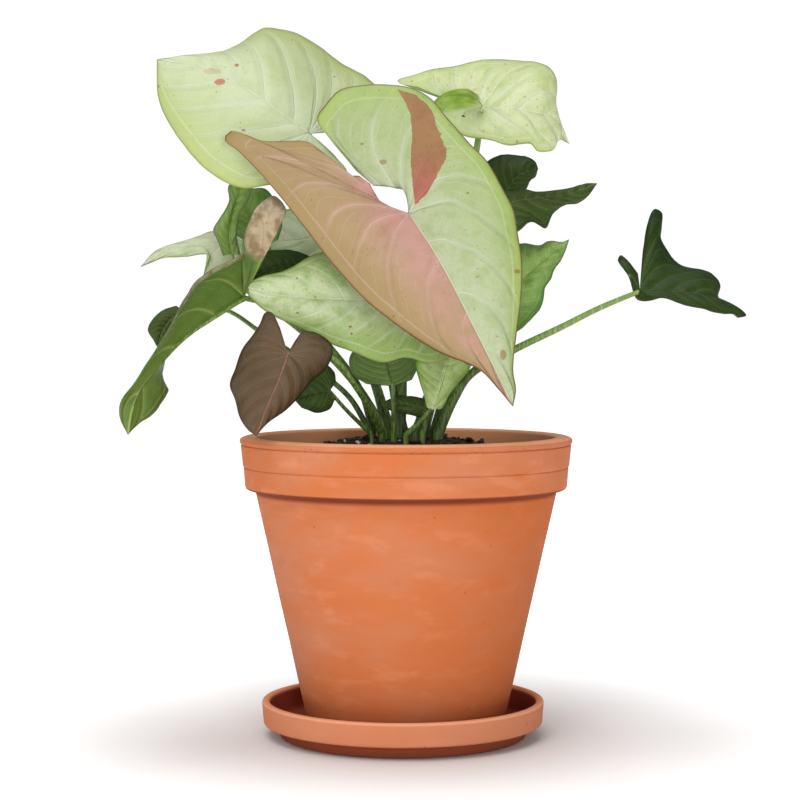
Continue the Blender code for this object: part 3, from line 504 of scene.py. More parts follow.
def scatterTree():
    # bits strewn over the upper faces of a bed, each turned, stretched and dented its own way
    group = bpy.data.node_groups.new("strewnBits", "GeometryNodeTree")
    face = group.interface
    face.new_socket("Bed", in_out="INPUT", socket_type="NodeSocketGeometry")
    for label, kind in (("Density", "Float"), ("Smallest", "Float"), ("Largest", "Float"),
                        ("Flatness", "Float"), ("Fineness", "Int"), ("Seed", "Int"),
                        ("Finish", "Material")):
        face.new_socket(label, in_out="INPUT", socket_type="NodeSocket" + kind)
    face.new_socket("Bits", in_out="OUTPUT", socket_type="NodeSocketGeometry")
    made = Tree(group)
    entry = group.nodes.new("NodeGroupInput")
    given = {socket.name: Wire(socket) for socket in entry.outputs}
    tilt = made.add("GeometryNodeInputNormal")
    lean = group.nodes.new("ShaderNodeSeparateXYZ")
    group.links.new(tilt.socket, lean.inputs[0])
    facing = made.add("FunctionNodeCompare", {"data_type": "FLOAT", "operation": "GREATER_THAN"}, {
        0: Wire(lean.outputs[2]), 1: 0.5})
    points = made.add("GeometryNodeDistributePointsOnFaces", None, {
        "Mesh": given["Bed"], "Selection": facing, "Density": given["Density"],
        "Seed": given["Seed"]})
    bit = made.add("GeometryNodeMeshIcoSphere", None, {
        "Radius": 1.0, "Subdivisions": given["Fineness"]})
    turn = made.add("FunctionNodeRandomValue", {"data_type": "FLOAT_VECTOR"}, {
        "Min": (-0.6, -0.6, 0.0), "Max": (0.6, 0.6, 6.28), "Seed": given["Seed"]})
    length = made.add("FunctionNodeRandomValue", {"data_type": "FLOAT"}, {
        2: given["Smallest"], 3: given["Largest"], "Seed": given["Seed"] + 1}, 1)
    width = made.add("FunctionNodeRandomValue", {"data_type": "FLOAT"}, {
        2: given["Smallest"], 3: given["Largest"], "Seed": given["Seed"] + 2}, 1)
    size = made.add("ShaderNodeCombineXYZ", None, {0: length, 1: width, 2: width * given["Flatness"]})
    strewn = made.add("GeometryNodeInstanceOnPoints", None, {
        "Points": points, "Instance": bit, "Rotation": turn, "Scale": size})
    loose = made.add("GeometryNodeRealizeInstances", None, {"Geometry": strewn})
    spot = made.add("GeometryNodeInputPosition")
    dent = made.add("ShaderNodeTexNoise", None, {"Vector": spot, "Scale": 620.0, "Detail": 1.0}, "Color")
    push = made.add("ShaderNodeVectorMath", {"operation": "SUBTRACT"}, {0: dent, 1: (0.5, 0.5, 0.4)})
    push = made.add("ShaderNodeVectorMath", {"operation": "SCALE"}, {
        0: push, "Scale": given["Largest"] * 1.5})
    shaped = made.add("GeometryNodeSetPosition", None, {"Geometry": loose, "Offset": push})
    done = made.add("GeometryNodeSetMaterial", None, {"Geometry": shaped, "Material": given["Finish"]})
    leave = group.nodes.new("NodeGroupOutput")
    group.links.new(done.socket, leave.inputs[0])
    return group


def runTree(body, group, values):
    # give the object a tree, with its inputs set by identifier
    work = body.modifiers.new(group.name, "NODES")
    work.node_group = group
    for item in group.interface.items_tree:
        if item.item_type == "SOCKET" and item.in_out == "INPUT" and item.name in values:
            work[item.identifier] = values[item.name]


def earthFinish(name, first, second, gloss):
    made = Finish(name, gloss, {"Specular IOR Level": 0.5})
    blend = made.soft(made.clouds(260.0, 3.0), 0.35, 0.7)
    body = made.mix(blend, first, second)
    relief = made.clouds(900.0, 4.0, 0.65)
    return made.paint(body, gloss + made.clouds(400.0) * 0.2, relief, 0.8)


def makeSoil():
    dark = earthFinish("soilDark", soil["dark"], soil["brown"], 0.6)
    finishes = {
        "crumbs": earthFinish("soilCrumb", soil["dark"], tint(58, 40, 30), 0.5),
        "chips": earthFinish("barkChip", tint(30, 21, 17), soil["brown"], 0.35),
        "grit": earthFinish("whiteGrit", tint(200, 194, 184), soil["white"], 0.5),
    }
    group = scatterTree()
    bed = soilBed(dark)
    for name, layer in soil["layers"].items():
        bits = bpy.data.objects.new("bits", bed.data)
        bpy.context.scene.collection.objects.link(bits)
        runTree(bits, group, {
            "Density": layer["density"], "Smallest": layer["small"] * mm,
            "Largest": layer["large"] * mm, "Flatness": layer["flat"],
            "Fineness": layer["fine"], "Seed": layer["seed"], "Finish": finishes[name]})
        bits = plain(bits, "soil_" + name)
        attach(bits, "root")
        print("soil layer", name, len(bits.data.polygons), "faces")
    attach(bed, "root")
    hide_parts("soil")


# leaves

blade = {
    "thick": 0.62, "rimThin": 0.45, "frontRibs": 40, "rimRibs": 64, "ribSteps": 15,
    "lobeAngle": math.radians(62.0), "searchSteps": 80, "otherPhase": 1.7,
    "sinusTurn": 0.38, "stalkFoot": 116.0, "stalkBend": 151.0,
}

# Each place is (across, up, near) in mm: across and up as seen from the camera in the
# upright plane through the pot's axis, near is how far in front of it the place is.
# midrib runs from stalk to tip, each rim from the tip round its lobe to the notch, and
# a sinus along an edge of the notch, from the stalk outwards.
# root is (across, near), radii those of the stalk at foot and top, wave (height, number).
leaves = {
    # The big front leaf.
    "leaf_front": {
        "upperSeen": True,
        "midrib": [
            (1.5, 260, 43), (17, 236, 62), (34.5, 202, 76), (53.5, 163.5, 84),
        ],
        "rimA": [
            (45.5, 173, 80), (37, 181.5, 76), (17, 191, 70), (-3, 203, 64), (-19, 215, 60),
            (-34, 232, 57), (-48, 249.5, 54), (-59, 263, 52), (-72, 279, 50), (-84, 292, 46),
            (-91, 297.5, 43), (-87, 301.5, 42), (-71, 296, 43), (-49, 296, 44), (-41, 289, 43),
            (-35, 283, 42), (-30, 279.5, 42), (-23.5, 279, 41),
        ],
        "rimB": [
            (55, 172, 82), (53.5, 182, 80), (55.5, 202, 76), (57.5, 217, 72), (58, 234.5, 68),
            (56, 249.5, 62), (54, 262, 58), (49.5, 271, 54), (41, 285, 50), (32, 294.5, 46),
            (20.5, 308.5, 40), (12, 318.5, 36), (2, 323, 34), (-8, 324, 32), (-20.5, 324, 32),
            (-33, 322, 33), (-40.5, 314.5, 35), (-44.5, 307.5, 37), (-38.5, 298, 37),
            (-32, 290, 36), (-25, 281.5, 36),
        ],
        "sinusA": [
            (-4, 261.5, 43), (-11, 265, 42), (-14, 267.5, 42), (-16, 271, 41), (-18, 275, 41),
        ],
        "sinusB": [
            (0.5, 267.5, 42), (-1.5, 272, 41), (-4.5, 272.5, 39), (-9.5, 273.5, 38),
            (-16, 274, 36),
        ],
        "stalk": [
            (16, 174.5, 1), (27.5, 197, 8), (30, 217, 18), (22, 239.5, 32),
        ],
        "root": (5, 9),
        "radii": (3.2, 1.7),
        "bulge": 5,
        "wave": (1.5, 4),
        "finish": ("front", "underPale", "leaf_variegated"),
    },
    # The big pale leaf behind it, pointing left.
    "leaf_upper_left": {
        "upperSeen": True,
        "midrib": [
            (-48.5, 300, 20.5), (-68, 314, 20), (-84, 325, 14), (-100.5, 333, 8), (-124.5, 337, 2),
        ],
        "rimA": [
            (-113, 338.5, 2), (-98, 340, -6), (-85.5, 344.5, -16), (-72, 352, -28),
            (-63, 351.5, -33), (-53, 349, -36), (-43, 344, -36), (-30.5, 334.5, -32),
            (-19, 327, -26), (-11, 318, -16), (-13, 308, -4), (-23, 302, 6),
        ],
        "rimB": [
            (-124.5, 328, 4), (-124, 319.5, 8), (-120.5, 309.5, 13), (-113, 296, 18),
            (-103, 284.5, 22), (-93, 278, 25), (-83, 273.5, 27), (-76, 273, 27), (-65.5, 274, 26),
            (-53, 274.5, 25), (-40.5, 275.5, 24), (-31.5, 277.5, 23), (-29.5, 281.5, 23),
            (-33.5, 286.5, 22), (-37.5, 291, 22), (-43, 296, 21),
        ],
        "stalk": [
            (-6.5, 177, -18), (-10.5, 212, -16), (-20.5, 247, -6), (-35.5, 277, 8),
        ],
        "root": (-2, -19),
        "radii": (3.2, 1.6),
        "bulge": 6,
        "wave": (1.2, 3),
        "finish": ("upperLeft", "underPale", "leaf_pale"),
    },
    # The pale leaf at the top right, its tip curled back.
    "leaf_upper_right": {
        "upperSeen": True,
        "midrib": [
            (36, 311, -5), (48, 313, 2), (62, 311, 0), (75, 307.5, -10), (81.5, 295, -24),
        ],
        "rimA": [
            (78.5, 300, -24), (75.5, 305, -23), (75.5, 314.5, -21), (76, 324.5, -20),
            (73, 330.5, -22), (66, 335, -26), (54.5, 337.5, -30), (42, 336.5, -30),
            (29.5, 335, -26), (17, 333, -20), (5, 329.5, -14), (-4, 327, -10), (-2, 325, -8),
            (6, 323.5, -6),
        ],
        "rimB": [
            (77, 297, -22), (74.5, 293, -10), (71, 290.5, -4), (65, 290.5, 0), (62, 295.5, 4),
            (49.5, 294.5, 6), (37, 297, 6), (29.5, 299.5, 6), (23.5, 304, 4), (17, 308, 4),
            (13, 314, 9), (19.5, 320.5, 13), (30, 322.5, 15), (36, 319.5, 15),
        ],
        "stalk": [
            (13, 174.5, -17), (27, 217, -15), (31, 267, -15), (36, 297, -13),
        ],
        "root": (6, -13),
        "radii": (3, 1.5),
        "bulge": 4,
        "wave": (1.5, 4),
        "lift": 5,
        "finish": ("upperRight", "underPale", "leaf_pale"),
    },
    # The pale green leaf under the front leaf.
    "leaf_middle": {
        "upperSeen": True,
        "midrib": [
            (-0.5, 217, 14), (-27, 216.5, 26), (-53, 218, 30), (-67, 219.5, 31), (-79, 223, 30),
        ],
        "rimA": [
            (-78, 225.5, 29), (-72, 228.5, 28), (-58, 233, 25), (-45.5, 239.5, 20),
            (-30.5, 244.5, 14), (-13, 247, 8), (4.5, 243, 5), (12, 231, 8),
        ],
        "rimB": [
            (-78.5, 218.5, 31), (-70.5, 212, 33), (-58, 204.5, 35), (-43, 198, 36),
            (-30.5, 192, 37), (-18, 187, 37), (-10.5, 186, 37), (-0.5, 188, 37), (11, 185, 36),
            (19.5, 187, 35), (25, 192, 30), (23, 203, 24),
        ],
        "stalk": [
            (-2, 167, -7), (-1.5, 184.5, -9), (-1, 196, -6), (-0.5, 208, 6),
        ],
        "root": (-3, -6),
        "radii": (3, 1.5),
        "bulge": 4,
        "wave": (1.2, 4),
        "finish": ("middle", "underPale", "leaf_pale"),
    },
    # The long leaf at the left, folded along its midrib and seen from under.
    "leaf_left_long": {
        "upperSeen": False,
        "midrib": [
            (-81, 218.5, 17), (-95.5, 209, 24), (-108, 200.5, 30), (-118, 191, 34),
            (-125.5, 181.5, 38), (-132, 173, 40), (-136.5, 163, 42), (-139, 149.5, 42),
        ],
        "rimA": [
            (-142.5, 156.5, 44), (-143, 162.5, 46), (-142, 167, 48), (-138, 173, 50),
            (-131.5, 182.5, 52), (-125, 190, 52), (-119.5, 199, 52), (-114.5, 213, 50),
            (-108.5, 222, 46), (-100.5, 228.5, 42), (-88, 237, 36), (-81.5, 242, 32),
            (-81.5, 248, 30), (-78, 256, 30), (-73, 264.5, 32), (-66, 269, 32), (-60, 261.5, 34),
            (-64, 254, 30),
        ],
        "rimB": [
            (-133, 155.5, 36), (-125.5, 162, 31), (-118, 170.5, 24), (-120, 174, 18),
            (-123, 179, 12), (-117, 194.5, 2), (-108, 208, -4), (-97, 218, -6), (-87, 227, -6),
            (-79, 236, -4), (-74.5, 233, 4),
        ],
        "stalk": [
            (-27, 177, 10), (-50.5, 200, 11), (-72, 215.5, 14),
        ],
        "root": (-10, 6),
        "radii": (2.6, 1.4),
        "bulge": 3,
        "wave": (1.2, 4),
        "finish": ("mid", "underLong", "leaf_green"),
    },
    # The small bronze leaf at the left.
    "leaf_bronze": {
        "upperSeen": True,
        "midrib": [
            (-59, 190, 62.5), (-63, 178, 64), (-69.5, 163, 64), (-75, 149, 62),
        ],
        "rimA": [
            (-79, 152, 61), (-83, 158, 59), (-85.5, 167, 56), (-88, 174.5, 54), (-85.5, 182, 54),
            (-82, 192, 55), (-76.5, 199.5, 57), (-73, 205, 58), (-70.5, 210.5, 59),
            (-67, 210.5, 60), (-63, 203, 61),
        ],
        "rimB": [
            (-69, 155.5, 61), (-60.5, 161.5, 58), (-53, 169, 56), (-47, 176.5, 54),
            (-40.5, 182, 53), (-37, 189, 54), (-37.5, 195, 56), (-45, 200.5, 58), (-51.5, 201, 59),
            (-55, 197, 61),
        ],
        "stalk": [
            (-17.5, 161.5, 24), (-25.5, 174, 35), (-35, 186.5, 44), (-49, 192, 52),
        ],
        "root": (-12, 15),
        "radii": (2, 1.1),
        "bulge": 2.5,
        "wave": (1, 3),
        "finish": ("bronze", "bronze", "leaf_bronze"),
    },
    # The dark leaf behind the bronze one.
    "leaf_low_left": {
        "upperSeen": True,
        "midrib": [
            (-38, 171.5, 40), (-45.5, 170.5, 43), (-55.5, 166.5, 44),
        ],
        "rimA": [
            (-53.5, 173, 42), (-48, 181, 38), (-41, 184.5, 35), (-36, 181, 34), (-35, 176, 36),
        ],
        "rimB": [
            (-51, 162.5, 44), (-43.5, 160.5, 43), (-38, 162.5, 41), (-35.5, 167, 40),
        ],
        "stalk": [
            (-29.5, 161.5, 33),
        ],
        "root": (-17, 24),
        "radii": (1.3, 0.9),
        "bulge": 2,
        "wave": (0.6, 3),
        "finish": ("deep", "under", "leaf_dark"),
    },
    # The whitish leaf pointing left.
    "leaf_left_pale": {
        "upperSeen": True,
        "midrib": [
            (-40.5, 248.5, -41), (-63, 245.5, -36), (-88, 245.5, -34), (-108, 243.5, -36),
            (-120.5, 241, -38), (-132.5, 233.5, -40),
        ],
        "rimA": [
            (-127, 239.5, -42), (-120.5, 243.5, -44), (-108, 248, -46), (-95.5, 251, -48),
            (-85.5, 254, -50), (-72, 259, -52), (-58, 262, -54), (-47, 261, -52), (-40, 255, -46),
        ],
        "rimB": [
            (-127, 235.5, -38), (-120, 238.5, -36), (-108, 239, -32), (-97.5, 238.5, -28),
            (-100, 232, -27), (-101.5, 225, -26), (-92, 224, -26), (-83, 233, -27),
            (-72, 240, -29), (-60.5, 239.5, -31), (-51.5, 236, -33), (-44, 235, -35),
            (-39, 240, -37),
        ],
        "stalk": [
            (-15.5, 177, -36), (-30.5, 217, -40),
        ],
        "root": (-8, -30),
        "radii": (2.4, 1.3),
        "bulge": 2,
        "wave": (1.2, 3),
        "finish": ("leftPale", "underPale", "leaf_pale"),
    },
    # The dark curled leaf at the left.
    "leaf_left_curled": {
        "upperSeen": True,
        "midrib": [
            (-87, 240, -17), (-88.5, 249.5, -15), (-87, 262, -13), (-80, 278, -14),
        ],
        "rimA": [
            (-84, 278, -14), (-88.5, 274, -13), (-88.5, 267, -11), (-93, 257.5, -10),
            (-96.5, 252, -11), (-94, 246, -13), (-91.5, 239, -16),
        ],
        "rimB": [
            (-76, 275, -15), (-78.5, 268, -15), (-82, 262, -14), (-84.5, 253, -14),
            (-84, 245, -16), (-82.5, 239, -17),
        ],
        "stalk": [
            (-25.5, 174.5, -13), (-47, 199.5, -16), (-72, 217, -19), (-83, 224.5, -21),
        ],
        "root": (-12, -7),
        "radii": (1.9, 1),
        "bulge": 2,
        "wave": (0.8, 3),
        "finish": ("curled", "under", "leaf_dark"),
    },
    # The mid green leaf behind it.
    "leaf_back_left": {
        "upperSeen": True,
        "midrib": [
            (-69, 244, -26), (-77, 257, -25), (-85, 271, -26),
        ],
        "rimA": [
            (-86, 266, -25), (-86.5, 258, -24), (-86, 251, -24), (-81.5, 247, -25),
            (-74.5, 243.5, -26),
        ],
        "rimB": [
            (-78, 272.5, -28), (-70, 272, -30), (-64, 264, -31), (-62, 254, -30), (-64, 247, -28),
        ],
        "stalk": [
            (-24, 174.5, -27), (-44.5, 202, -30), (-58, 222, -29),
        ],
        "root": (-17, -22),
        "radii": (1.9, 1.1),
        "bulge": 2.5,
        "wave": (0.8, 3),
        "finish": ("mid", "under", "leaf_green"),
    },
    # The shadowed dark leaf behind the middle leaf.
    "leaf_dark_left": {
        "upperSeen": True,
        "midrib": [
            (-47, 233, -14), (-63, 233.5, -10), (-80, 227, -8),
        ],
        "rimA": [
            (-78, 234, -9), (-74, 240, -11), (-64, 242, -14), (-54, 241, -17), (-47.5, 238.5, -17),
        ],
        "rimB": [
            (-75, 223.5, -6), (-65, 224, -5), (-55, 226, -7), (-48, 228, -10),
        ],
        "stalk": [
            (-18, 179.5, -20), (-36, 216, -21),
        ],
        "root": (-10, -15),
        "radii": (1.9, 1.1),
        "bulge": 2,
        "wave": (0.6, 3),
        "finish": ("deep", "under", "leaf_dark"),
    },
    # The small dark leaf rolled up at the far left.
    "leaf_far_left": {
        "upperSeen": True,
        "midrib": [
            (-111, 211, -14), (-117, 208, -10), (-121.5, 202, -6), (-124.5, 193.5, -5),
        ],
        "rimA": [
            (-126.5, 197, -5), (-129, 202.5, -5), (-126, 208, -8), (-121, 212, -12),
            (-115, 214, -15),
        ],
        "rimB": [
            (-121.5, 197, -5), (-119, 200.5, -7), (-115.5, 202.5, -10), (-110, 205, -13),
            (-107, 208.5, -14),
        ],
        "stalk": [
            (-29, 169, 2), (-50.5, 186, 6), (-73, 201, 4), (-88, 211, -12), (-100.5, 214, -16),
        ],
        "root": (-18, 0),
        "radii": (1.6, 1),
        "bulge": 1,
        "wave": (0.5, 3),
        "finish": ("dark", "under", "leaf_dark"),
    },
    # The young bright leaf standing in the clump.
    "leaf_young": {
        "upperSeen": True,
        "midrib": [
            (12.5, 162, 33), (17.5, 174.5, 30), (20.5, 186, 26), (23, 197.5, 18),
        ],
        "rimA": [
            (19, 196.5, 18), (12, 194.5, 19), (7, 191, 21), (5, 185, 24), (6.5, 177, 28),
            (9, 169, 31), (10, 163.5, 32),
        ],
        "rimB": [
            (28, 196, 18), (33.5, 190.5, 19), (32.5, 184, 22), (28, 177.5, 26), (22, 170, 30),
            (18, 162.5, 31),
        ],
        "stalk": [
            (4, 153, 34),
        ],
        "root": (0, 33),
        "radii": (1.6, 1.2),
        "bulge": -3,
        "wave": (0.8, 3),
        "finish": ("young", "underPale", "leaf_green"),
    },
    # A small dark leaf low in the clump.
    "leaf_inner_left": {
        "upperSeen": False,
        "midrib": [
            (-6.5, 174, 30), (-9, 182, 20), (-11, 195, -2),
        ],
        "rimA": [
            (-19, 196, -2), (-27, 191, 3), (-28.5, 185, 8), (-26, 179, 15), (-20, 175, 24),
        ],
        "rimB": [
            (-3, 195, -3), (4, 191, 0), (6.5, 185, 8), (3, 177, 20),
        ],
        "stalk": [],
        "root": (-6, 25),
        "radii": (1.5, 1),
        "bulge": 2,
        "wave": (0.6, 3),
        "finish": ("dark", "under", "leaf_dark"),
    },
    # Another small dark leaf low in the clump.
    "leaf_inner_right": {
        "upperSeen": True,
        "midrib": [
            (9, 162.5, 20), (1, 164, 22), (-12, 164, 20),
        ],
        "rimA": [
            (-9, 167, 18), (-3, 169, 16), (4, 168.5, 15), (10, 167.5, 16),
        ],
        "rimB": [
            (-7, 161.5, 22), (-0.5, 160, 23), (5.5, 158.5, 21), (11, 158, 20),
        ],
        "stalk": [
            (9.5, 155, 20),
        ],
        "root": (8, 21),
        "radii": (1.5, 1),
        "bulge": 1.5,
        "wave": (0.4, 3),
        "finish": ("dark", "under", "leaf_dark"),
    },
    # The dark leaf under the upper right leaf.
    "leaf_right_dark": {
        "upperSeen": True,
        "midrib": [
            (47, 263.5, -42), (51, 272, -40), (57, 279.5, -41), (66, 282.5, -46),
        ],
        "rimA": [
            (64.5, 286, -48), (59, 289, -50), (52, 289.5, -52), (45.5, 288.5, -53),
            (39, 285.5, -53), (35, 278, -50), (39, 269, -46),
        ],
        "rimB": [
            (65, 279.5, -45), (62.5, 276.5, -43), (59.5, 272, -41), (55.5, 267, -40),
            (51, 262.5, -40),
        ],
        "stalk": [
            (17, 177, -34), (32, 217, -40), (40, 239.5, -44),
        ],
        "root": (10, -26),
        "radii": (2.2, 1.2),
        "bulge": 2,
        "wave": (0.8, 3),
        "finish": ("deep", "under", "leaf_dark"),
    },
    # The grey green leaf pointing right.
    "leaf_right_pointed": {
        "upperSeen": True,
        "midrib": [
            (46, 262, -8), (55.5, 266, -8), (65.5, 267.5, -14), (82, 270, -26), (95.5, 275, -34),
        ],
        "rimA": [
            (91.5, 275, -35), (82, 273, -33), (72, 270.5, -28), (65, 271, -24), (61, 272, -20),
            (53, 271, -18), (47, 271, -16), (44, 267, -12),
        ],
        "rimB": [
            (91, 269, -30), (85.5, 265.5, -26), (80, 264, -22), (73.5, 260, -14), (70, 253, -8),
            (66, 254.5, -4), (62, 255.5, 0), (57, 252, 4), (51, 249, 4), (45.5, 251, 0),
            (44, 256, -4),
        ],
        "stalk": [
            (21, 174.5, -7), (34, 202, -7), (43, 229.5, -6), (47, 251, -12),
        ],
        "root": (14, -4),
        "radii": (2.4, 1.3),
        "bulge": 2,
        "wave": (0.8, 3),
        "finish": ("dark", "under", "leaf_dark"),
    },
    # The mid green leaf at the right.
    "leaf_right_mid": {
        "upperSeen": True,
        "midrib": [
            (47, 217, -6), (58, 227, -4), (69.5, 237, -8), (81.5, 247, -16),
        ],
        "rimA": [
            (78, 245.5, -16), (71, 246.5, -17), (66.5, 244.5, -18), (56.5, 244.5, -18),
            (49.5, 242, -18), (42, 236, -16), (41, 225, -12),
        ],
        "rimB": [
            (79.5, 241, -14), (74.5, 232.5, -6), (72.5, 226.5, -2), (69.5, 223, 2),
            (68.5, 217.5, 4), (66.5, 211.5, 6), (62.5, 206.5, 8), (56, 201.5, 8), (48.5, 200, 4),
            (43.5, 207, -1),
        ],
        "stalk": [
            (26, 177, -15), (39, 198, -14), (46, 211, -12),
        ],
        "root": (16, -15),
        "radii": (2.2, 1.2),
        "bulge": 2.5,
        "wave": (1, 3),
        "finish": ("mid", "under", "leaf_green"),
    },
    # The folded dark leaf that reaches right on a long stalk.
    "leaf_reaching": {
        "upperSeen": True,
        "midrib": [
            (117, 222, 11), (130, 221, 12), (142.5, 220, 13), (155, 216.5, 12), (166, 208, 10),
        ],
        "rimA": [
            (170, 209, 6), (164.5, 214, 5), (156.5, 218.5, 3), (157, 224, -2), (152.5, 229.5, -6),
            (146.5, 232.5, -8), (137, 235, -8), (131.5, 239.5, -8), (127.5, 246.5, -8),
            (128, 254, -11), (128, 260.5, -14), (124, 262, -14), (121, 256, -10), (118.5, 242, -2),
        ],
        "rimB": [
            (163.5, 210, 16), (158, 210.5, 19), (149, 211.5, 22), (140.5, 214, 22),
            (133.5, 217, 21), (128, 217.5, 19), (122, 216, 16), (116, 217.5, 10), (111, 228.5, 5),
            (106, 236.5, 0), (107.5, 239.5, -1), (111, 236.5, 0), (116, 230, 5),
        ],
        "stalk": [
            (23.5, 166.5, 12), (32.5, 180, 11), (54, 192, 10), (77, 203, 10), (97, 213, 10),
        ],
        "root": (16, 11),
        "radii": (2.8, 1.2),
        "bulge": 2,
        "wave": (1, 4),
        "finish": ("deep", "under", "leaf_dark"),
    },
}


def sighted(place):
    across, up, near = place
    reach = (-eye.y - near) / -eye.y
    return Vector((eye.x + (across - eye.x) * reach, -near, eye.z + (up - eye.z) * reach)) * mm


def along(places, share):
    # point at a share of the length of a smooth line through some places
    spans = [(b - a).length for a, b in zip(places, places[1:])]
    goal = share * sum(spans)
    index = 0
    while index < len(spans) - 1 and goal > spans[index]:
        goal -= spans[index]
        index += 1
    t = min(goal / spans[index], 1.0)
    a, b = places[index], places[index + 1]
    before = places[index - 1] if index > 0 else a * 2.0 - b
    after = places[index + 2] if index + 2 < len(places) else b * 2.0 - a
    span = (b - a).length
    rise = (b - before) * (span / (span + (a - before).length))
    fall = (after - a) * (span / (span + (after - b).length))
    cubic = 2.0 * t ** 3 - 3.0 * t ** 2
    return (a * (1.0 + cubic) + b * -cubic
            + rise * (t ** 3 - 2.0 * t ** 2 + t) + fall * (t ** 3 - t ** 2))


def upperFace(leaf):
    midrib = [sighted(place) for place in leaf["midrib"]]
    rimA = sighted(leaf["rimA"][len(leaf["rimA"]) // 2])
    rimB = sighted(leaf["rimB"][len(leaf["rimB"]) // 2])
    face = (midrib[-1] - midrib[0]).cross(rimB - rimA).normalized()
    return face if (face.y < 0.0) == leaf["upperSeen"] else face * -1.0


def lobeStart(rim, joint, forward):
    for step in range(1, blade["searchSteps"]):
        if (along(rim, step / blade["searchSteps"]) - joint).angle(forward) > blade["lobeAngle"]:
            return max(step / blade["searchSteps"], 0.15)
    return 0.8


def halfGrid(leaf, rimPlaces, sinusPlaces, face, phase, lift, seed):
    # one half of a blade: (place, share, out) for each rib and each step along it
    midrib = [sighted(place) for place in leaf["midrib"]]
    rim = [midrib[-1]] + [sighted(place) for place in rimPlaces]
    joint, toTip = midrib[0], list(reversed(midrib))
    forward = (along(midrib, 0.5) - joint).normalized()
    start = lobeStart(rim, joint, forward)
    sinus = [joint] + [sighted(place) for place in sinusPlaces]
    bare = blade["sinusTurn"]  # up to this turn the ribs of a lobe start at the joint
    waveHeight, waves = leaf["wave"]
    front = blade["frontRibs"]
    lobe = round(blade["rimRibs"] * max(1.0 - start, 0.2) * 1.4)
    grid = []
    for column in range(front + lobe + 1):
        if column <= front:
            share = start * column / front
            origin = along(toTip, column / front)
        else:
            turn = (column - front) / lobe
            share = start + (1.0 - start) * turn
            origin = joint + face * lift * min(turn * 1.5, 1.0) * mm
            if len(sinus) > 1 and turn > bare:
                origin = along(sinus, (turn - bare) / (1.0 - bare))
        edge = along(rim, share)
        ripple = waveHeight * math.sin(2.0 * math.pi * waves * share + phase)
        ripple *= min(share * 6.0, 1.0) * min((1.0 - share) * 2.5, 1.0)
        fray = noise.noise(Vector((share * 26.0, phase, seed))) * 0.45
        fray *= min(share * 8.0, 1.0) * min((1.0 - share) * 5.0, 1.0)
        rib = []
        for step in range(blade["ribSteps"] + 1):
            out = (step / blade["ribSteps"]) ** 0.9
            swell = leaf["bulge"] * 4.0 * out * (1.0 - out) * math.sin(math.pi * min(share * 1.15, 1.0))
            lie = face * (swell + ripple * out ** 2 + fray * out ** 5) * mm
            rib.append((origin.lerp(edge, out) + lie, share, out))
        grid.append(rib)
    return grid


def bladeMesh(name, leaf, seed):
    # the sheet of both halves, and the way its upper side looks along the midrib
    face = upperFace(leaf)
    wings = []
    shape = bmesh.new()
    leafMap = shape.loops.layers.uv.new("leafMap")
    grain = shape.verts.layers.float.new("grain")  # mm of blade for one unit of share
    span = shape.verts.layers.float.new("span")  # mm from the midrib to the rim
    weight = shape.verts.layers.deform.verify()
    halves = (("A", 0.0, 0.0, 1.0), ("B", blade["otherPhase"], leaf.get("lift", 0.0), -1.0))
    for half, phase, lift, sign in halves:
        grid = halfGrid(leaf, leaf["rim" + half], leaf.get("sinus" + half, ()), face, phase, lift, seed)
        wings.append([(rib[3][0] - rib[0][0]).normalized() for rib in grid[:blade["frontRibs"] + 1]])
        spine = [rib[0][0] for rib in grid[:blade["frontRibs"] + 1]]
        rows = []
        for column, rib in enumerate(grid):
            low, high = grid[max(column - 1, 0)], grid[min(column + 1, len(grid) - 1)]
            row = []
            for step, (place, share, out) in enumerate(rib):
                vertex = shape.verts.new(place)
                vertex[grain] = (high[step][0] - low[step][0]).length / mm / (high[0][1] - low[0][1])
                vertex[span] = (rib[-1][0] - rib[0][0]).length / mm
                vertex[weight][0] = 1.0 - (1.0 - blade["rimThin"]) * out ** 6
                row.append(vertex)
            rows.append(row)
        sample = (grid[8][3][0] - grid[8][1][0]).cross(grid[14][2][0] - grid[8][2][0])
        turned = sample.dot(face) < 0.0
        for column in range(len(rows) - 1):
            for step in range(len(rows[0]) - 1):
                corners = [(column, step), (column, step + 1), (column + 1, step + 1), (column + 1, step)]
                if turned:
                    corners.reverse()
                made = shape.faces.new([rows[a][b] for a, b in corners])
                made.smooth = True
                for loop, (a, b) in zip(made.loops, corners):
                    loop[leafMap].uv = (sign * grid[a][b][1], grid[a][b][2])
    bmesh.ops.remove_doubles(shape, verts=shape.verts[:], dist=0.02 * mm)
    mesh = bpy.data.meshes.new(name)
    shape.to_mesh(mesh)
    shape.free()
    looks = []
    for index in range(1, len(spine) - 1):
        look = (spine[index + 1] - spine[index - 1]).cross(wings[1][index] - wings[0][index]).normalized()
        looks.append(look if look.dot(looks[-1] if looks else face) > 0.0 else look * -1.0)
    looks = [looks[0]] + looks + [looks[-1]]
    return mesh, list(zip(spine, looks))[::-1]


